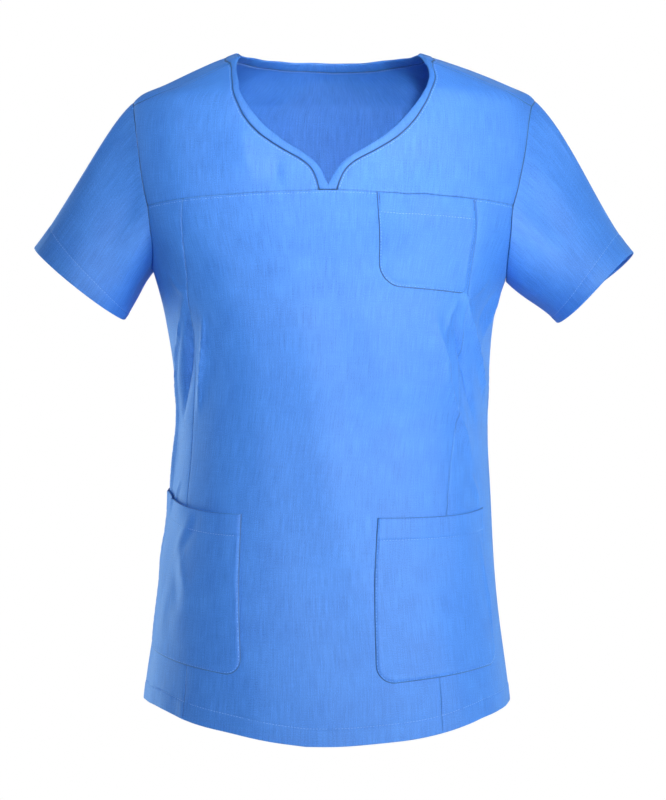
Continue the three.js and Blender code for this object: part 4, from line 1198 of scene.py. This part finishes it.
# The inside of the back neck shows too: the band is sewn down there with short slanting stitches.
INSIDE_DEPTH = CLOTH_THICKNESS + 0.55
inside_points, inside_normals = cloth_point(whole_neck_back[:, 0], whole_neck_back[:, 1] - 0.4, -INSIDE_DEPTH)
place, along, out = even_samples(inside_points, -inside_normals, 2.6)
slanted = unit(along + 1.3 * np.cross(out, along))
stitches["inside_neck"] = join_beads(
    "stitches_inside_neck", [beads(place, slanted, out, length=2.6, radius=0.3)])

for name, pocket in pocket_sewn.items():
    line = pocket["line"]
    inward = 1 if pocket["side"] > 0 else -1
    sewn = beside(line, POCKET_STITCH * inward)[1:-1]
    hem_up = pocket["mean"] - pocket["hem_depth"]
    across = np.linspace(0.02, 0.98, 90)
    hem_line = np.stack(pocket_frame(pocket, across, np.full(90, hem_up))[:2], axis=1)
    mouth = pocket["mouth"] * math.exp(-pocket["hem_depth"] / MOUTH_FADE) * np.sin(np.pi * across) ** 0.7
    points, normals = cloth_point(hem_line[:, 0], hem_line[:, 1], POCKET_PROUD + 0.12 + 0.1 + mouth)
    rows = [row_on_cloth(sewn, POCKET_PROUD - 0.12), beads(*even_samples(points, normals, STITCH_PITCH))]
    tacks = []
    for u_at in (2.4 / pocket["width"], 1 - 2.4 / pocket["width"])[: 1 if name == "pocket_right" else 2]:
        ups = np.linspace(pocket["mean"] - 12, pocket["mean"] - 1.5, 30)
        tack = np.stack(pocket_frame(pocket, np.full(30, u_at), ups)[:2], axis=1)
        points, normals = cloth_point(tack[:, 0], tack[:, 1], POCKET_PROUD + 0.62)
        place, along, out = even_samples(points, normals, 0.62)
        tacks.append(beads(place, np.cross(out, along), out, length=2.0, radius=0.33))
    stitches[name] = join_beads("stitches_" + name, rows)
    stitches[name + "_tacks"] = join_beads("bar_tacks_" + name, tacks)

for side, name in ((1, "left"), (-1, "right")):
    grid, normal, degrees, from_top, to_cuff, mean = sleeve_cloth(side)
    rise = sleeve_rise(side, degrees[None, :], from_top, to_cuff, mean)
    surface = grid + normal * (rise + 0.25)[..., None]
    order = np.argsort(degrees)
    depth = to_cuff[:, 0]
    row = int(np.abs(depth - SLEEVE_HEM_DEPTH * 1.0).argmin())
    line, out = surface[row][order], normal[row][order]
    line, out = np.concatenate([line, line[:1]]), np.concatenate([out, out[:1]])
    row_of_beads = beads(*even_samples(line, out, STITCH_PITCH))
    stitches["sleeve_" + name] = join_beads("stitches_sleeve_" + name, [row_of_beads])

# %% [markdown]
# ## The cloth's finish
# The cloth is a fine plain weave in cornflower blue. Its look has four scales: threads woven over
# and under, slightly thicker threads that run up the piece, soft mottling, and a fibre sheen at
# grazing angles. The threads are noise and sine waves on the cloth's own flat map, so they follow
# each piece. The mottling lies in the garment's own space, so it runs on across the seams.

# %% Cloth and thread materials
def new_material(name):
    material = bpy.data.materials.new(name)
    material.use_nodes = True
    tree = material.node_tree
    tree.nodes.clear()
    output = tree.nodes.new("ShaderNodeOutputMaterial")
    shader = tree.nodes.new("ShaderNodeBsdfPrincipled")
    tree.links.new(shader.outputs[0], output.inputs[0])
    return material, tree, shader


def math_node(tree, operation, *values):
    node = tree.nodes.new("ShaderNodeMath")
    node.operation = operation
    for socket, value in zip(node.inputs, values):
        if isinstance(value, (int, float)):
            socket.default_value = value
        else:
            tree.links.new(value, socket)
    return node.outputs[0]


def noise_node(tree, vector, scale, detail=2.0):
    node = tree.nodes.new("ShaderNodeTexNoise")
    node.inputs["Scale"].default_value = scale
    node.inputs["Detail"].default_value = detail
    tree.links.new(vector, node.inputs["Vector"])
    return node.outputs["Fac"]


def stretched(tree, vector, scale):
    node = tree.nodes.new("ShaderNodeMapping")
    node.inputs["Scale"].default_value = scale
    tree.links.new(vector, node.inputs["Vector"])
    return node.outputs["Vector"]


def colour_mix(tree, share, low, high):
    node = tree.nodes.new("ShaderNodeMix")
    node.data_type = "RGBA"
    tree.links.new(share, node.inputs["Factor"])
    node.inputs["A"].default_value = (*low, 1)
    node.inputs["B"].default_value = (*high, 1)
    return node.outputs["Result"]


THREAD_SPACING = 0.00052
# How dark the painted seam shade makes the cloth's colour.
SEAM_SHADE_DARKNESS = 0.22
CLOTH_SHINE = (0.78, 0.94, 1.0, 1)
NAP_COLOUR = (0.4, 0.8, 1.0, 1)


def woven_cloth(name, dark, light, roughness=0.56, sheen=0.12):
    material, tree, shader = new_material(name)
    coordinates = tree.nodes.new("ShaderNodeTexCoord")
    flat = coordinates.outputs["UV"]
    split = tree.nodes.new("ShaderNodeSeparateXYZ")
    tree.links.new(flat, split.inputs[0])
    turns = 2 * math.pi / THREAD_SPACING / 2
    across = math_node(tree, "SINE", math_node(tree, "MULTIPLY", split.outputs["X"], turns))
    up = math_node(tree, "SINE", math_node(tree, "MULTIPLY", split.outputs["Y"], turns))
    weave = math_node(tree, "MULTIPLY", across, up)
    slubs = noise_node(tree, stretched(tree, flat, (820, 40, 1)), 1.0, 2.0)
    slubs_across = noise_node(tree, stretched(tree, flat, (40, 820, 1)), 1.0, 1.0)
    mottle = noise_node(tree, stretched(tree, coordinates.outputs["Object"], (1, 1, 1)), 38.0, 3.0)
    grain = noise_node(tree, stretched(tree, flat, (1050, 1050, 1)), 1.0, 1.0)
    tone = math_node(tree, "MULTIPLY", slubs, 0.9)
    tone = math_node(tree, "ADD", tone, math_node(tree, "MULTIPLY", slubs_across, 0.25))
    tone = math_node(tree, "ADD", tone, math_node(tree, "MULTIPLY", mottle, 0.35))
    tone = math_node(tree, "ADD", tone, math_node(tree, "MULTIPLY", grain, 1.3))
    tone = math_node(tree, "SUBTRACT", tone, 0.9)
    tone = math_node(tree, "ADD", tone, math_node(tree, "MULTIPLY", weave, 0.05))
    # Painted shade: the seam_shade attribute darkens the base colour along seams, in place of the shadow in
    # their grooves.
    seam = tree.nodes.new("ShaderNodeAttribute")
    seam.attribute_name = "seam_shade"
    shaded = tree.nodes.new("ShaderNodeMix")
    shaded.data_type = "RGBA"
    tree.links.new(seam.outputs["Fac"], shaded.inputs["Factor"])
    tree.links.new(colour_mix(tree, tone, dark, light), shaded.inputs["A"])
    shaded.inputs["B"].default_value = (*[value * SEAM_SHADE_DARKNESS for value in dark], 1)
    tree.links.new(shaded.outputs["Result"], shader.inputs["Base Color"])
    height = math_node(
        tree, "ADD", math_node(tree, "MULTIPLY", weave, 0.35), math_node(tree, "MULTIPLY", slubs, 0.8))
    height = math_node(tree, "ADD", height, math_node(tree, "MULTIPLY", grain, 0.5))
    bump = tree.nodes.new("ShaderNodeBump")
    bump.inputs["Strength"].default_value = 0.5
    bump.inputs["Distance"].default_value = 0.00022
    tree.links.new(height, bump.inputs["Height"])
    tree.links.new(bump.outputs[0], shader.inputs["Normal"])
    rough = math_node(tree, "ADD", math_node(tree, "MULTIPLY", mottle, 0.12), roughness - 0.06)
    tree.links.new(rough, shader.inputs["Roughness"])
    shader.inputs["Sheen Weight"].default_value = sheen
    shader.inputs["Sheen Roughness"].default_value = 0.4
    shader.inputs["Sheen Tint"].default_value = NAP_COLOUR
    shader.inputs["Specular IOR Level"].default_value = 0.95
    shader.inputs["Specular Tint"].default_value = CLOTH_SHINE
    return material


def sewing_thread(name, dark, light):
    material, tree, shader = new_material(name)
    coordinates = tree.nodes.new("ShaderNodeTexCoord")
    twist = noise_node(tree, stretched(tree, coordinates.outputs["Object"], (2600, 2600, 2600)), 1.0, 1.0)
    tree.links.new(colour_mix(tree, twist, dark, light), shader.inputs["Base Color"])
    shader.inputs["Roughness"].default_value = 0.5
    shader.inputs["Sheen Weight"].default_value = 0.15
    return material


CLOTH_DARK, CLOTH_LIGHT = (0.014, 0.135, 0.62), (0.078, 0.325, 0.96)
scrub_cloth = woven_cloth("scrub_cloth", CLOTH_DARK, CLOTH_LIGHT)
band_cloth = woven_cloth("neckband_cloth", (0.012, 0.128, 0.59), (0.07, 0.31, 0.92))
blue_thread = sewing_thread("blue_thread", (0.14, 0.38, 0.92), (0.28, 0.55, 1.0))
tack_thread = sewing_thread("tack_thread", (0.02, 0.07, 0.32), (0.04, 0.13, 0.5))
inside_thread = sewing_thread("inside_thread", (0.16, 0.36, 0.85), (0.3, 0.55, 1.0))

for node, obj in pieces.items():
    obj.data.materials.append(band_cloth if node == "neckband" else scrub_cloth)
for key, obj in stitches.items():
    kind = tack_thread if key.endswith("tacks") else inside_thread if key == "inside_neck" else blue_thread
    obj.data.materials.append(kind)
print(len(pieces), "cloth pieces and", len(stitches), "sets of stitches")

# %% [markdown]
# ## Attaching the pieces
# Each cloth piece stands for its solid, which is hidden, and rides on the one body, as do the
# stitches.

# %% Pieces on the body
for node, obj in pieces.items():
    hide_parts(node)
    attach(obj, "root")
for obj in stitches.values():
    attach(obj, "root")

# %% [markdown]
# ## Stage, light and camera
# The photograph is a studio picture on white. A large soft light stands at the front right. Two
# narrow ones brighten the middle of the front and the inside of the neck, two cool ones rim the
# sides from behind, and one lights the back. A white room fills the shadows. The camera stands
# level with the middle of the top, far enough back that the sides hardly narrow.

# %% Stage
def made_disc(name, radius, height):
    bpy.ops.object.select_all(action="DESELECT")
    bpy.ops.mesh.primitive_circle_add(vertices=128, radius=radius, fill_type="NGON", location=(0, 0, height))
    disc = bpy.context.object
    disc.name = name
    bpy.ops.object.transform_apply(location=True, rotation=True, scale=True)
    disc.select_set(False)
    return disc


FLOOR_HEIGHT = -0.9
floor = made_disc("floor", 1.0, FLOOR_HEIGHT)
floor_material, tree, shader = new_material("pale_floor")
coordinates = tree.nodes.new("ShaderNodeTexCoord")
speckle = noise_node(tree, coordinates.outputs["Object"], 40.0, 2.0)
tree.links.new(colour_mix(tree, speckle, (0.8, 0.8, 0.8), (0.86, 0.86, 0.86)), shader.inputs["Base Color"])
shader.inputs["Roughness"].default_value = 0.7
floor.data.materials.append(floor_material)

# %% Light
def soft_light(name, place, target, width, height, power, colour):
    data = bpy.data.lights.new(name, "AREA")
    data.shape = "RECTANGLE"
    data.size, data.size_y, data.energy, data.color = width, height, power, colour
    light = bpy.data.objects.new(name, data)
    light.location = place
    light.rotation_euler = (Vector(target) - Vector(place)).to_track_quat("-Z", "Y").to_euler()
    bpy.context.scene.collection.objects.link(light)
    return light


def narrow(light, degrees):
    """Keeps a light's beam narrow, so that it fades towards the sides."""
    light.data.spread = math.radians(degrees)


soft_light("key_light", (1.75, -1.85, -0.1), (0.05, 0, -0.33), 0.8, 1.2, 30, (1.0, 0.98, 0.95))
SOFT_WHITE = (1.0, 0.99, 0.97)
front_light = soft_light(
    "front_light", (0.22, -2.35, -0.15), (0.07, 0, -0.38), 0.35, 0.6, 0.62, SOFT_WHITE)
narrow(front_light, 22)
neck_light = soft_light("neck_light", (0.1, -2.0, 0.75), (0, 0, -0.04), 0.3, 0.2, 0.36, SOFT_WHITE)
narrow(neck_light, 18)
soft_light("left_rim", (-1.7, 1.1, -0.35), (0, 0, -0.35), 1.4, 1.8, 26, (0.62, 0.88, 1.0))
soft_light("right_rim", (1.7, 1.1, -0.35), (0, 0, -0.35), 1.4, 1.8, 12, (0.62, 0.88, 1.0))
soft_light("back_light", (0.2, 2.4, 0.5), (0, 0, -0.3), 1.4, 1.4, 12, (1.0, 0.98, 0.95))
world = bpy.data.worlds.new("white_room")
bpy.context.scene.world = world
world.use_nodes = True
tree = world.node_tree
tree.nodes.clear()
world_output = tree.nodes.new("ShaderNodeOutputWorld")
path = tree.nodes.new("ShaderNodeLightPath")
room, seen = tree.nodes.new("ShaderNodeBackground"), tree.nodes.new("ShaderNodeBackground")
room.inputs["Color"].default_value, room.inputs["Strength"].default_value = (0.82, 0.91, 1.0, 1), 0.27
seen.inputs["Color"].default_value, seen.inputs["Strength"].default_value = (1, 1, 1, 1), 1.0
chosen = tree.nodes.new("ShaderNodeMixShader")
tree.links.new(path.outputs["Is Camera Ray"], chosen.inputs[0])
tree.links.new(room.outputs[0], chosen.inputs[1])
tree.links.new(seen.outputs[0], chosen.inputs[2])
tree.links.new(chosen.outputs[0], world_output.inputs[0])
bpy.context.scene.view_settings.view_transform = "Standard"

# %% Camera
CAMERA_DISTANCE, CAMERA_HEIGHT = 2.4, -0.324
VIEW_HEIGHT = 0.8
camera_data = bpy.data.cameras.new("camera")
camera = bpy.data.objects.new("camera", camera_data)
bpy.context.scene.collection.objects.link(camera)
camera.location = (0, -CAMERA_DISTANCE, CAMERA_HEIGHT)
camera.rotation_euler = (math.radians(90), 0, 0)
camera_data.sensor_fit = "AUTO"
camera_data.sensor_width = 36
camera_data.lens = camera_data.sensor_width * CAMERA_DISTANCE / VIEW_HEIGHT
bpy.context.scene.camera = camera
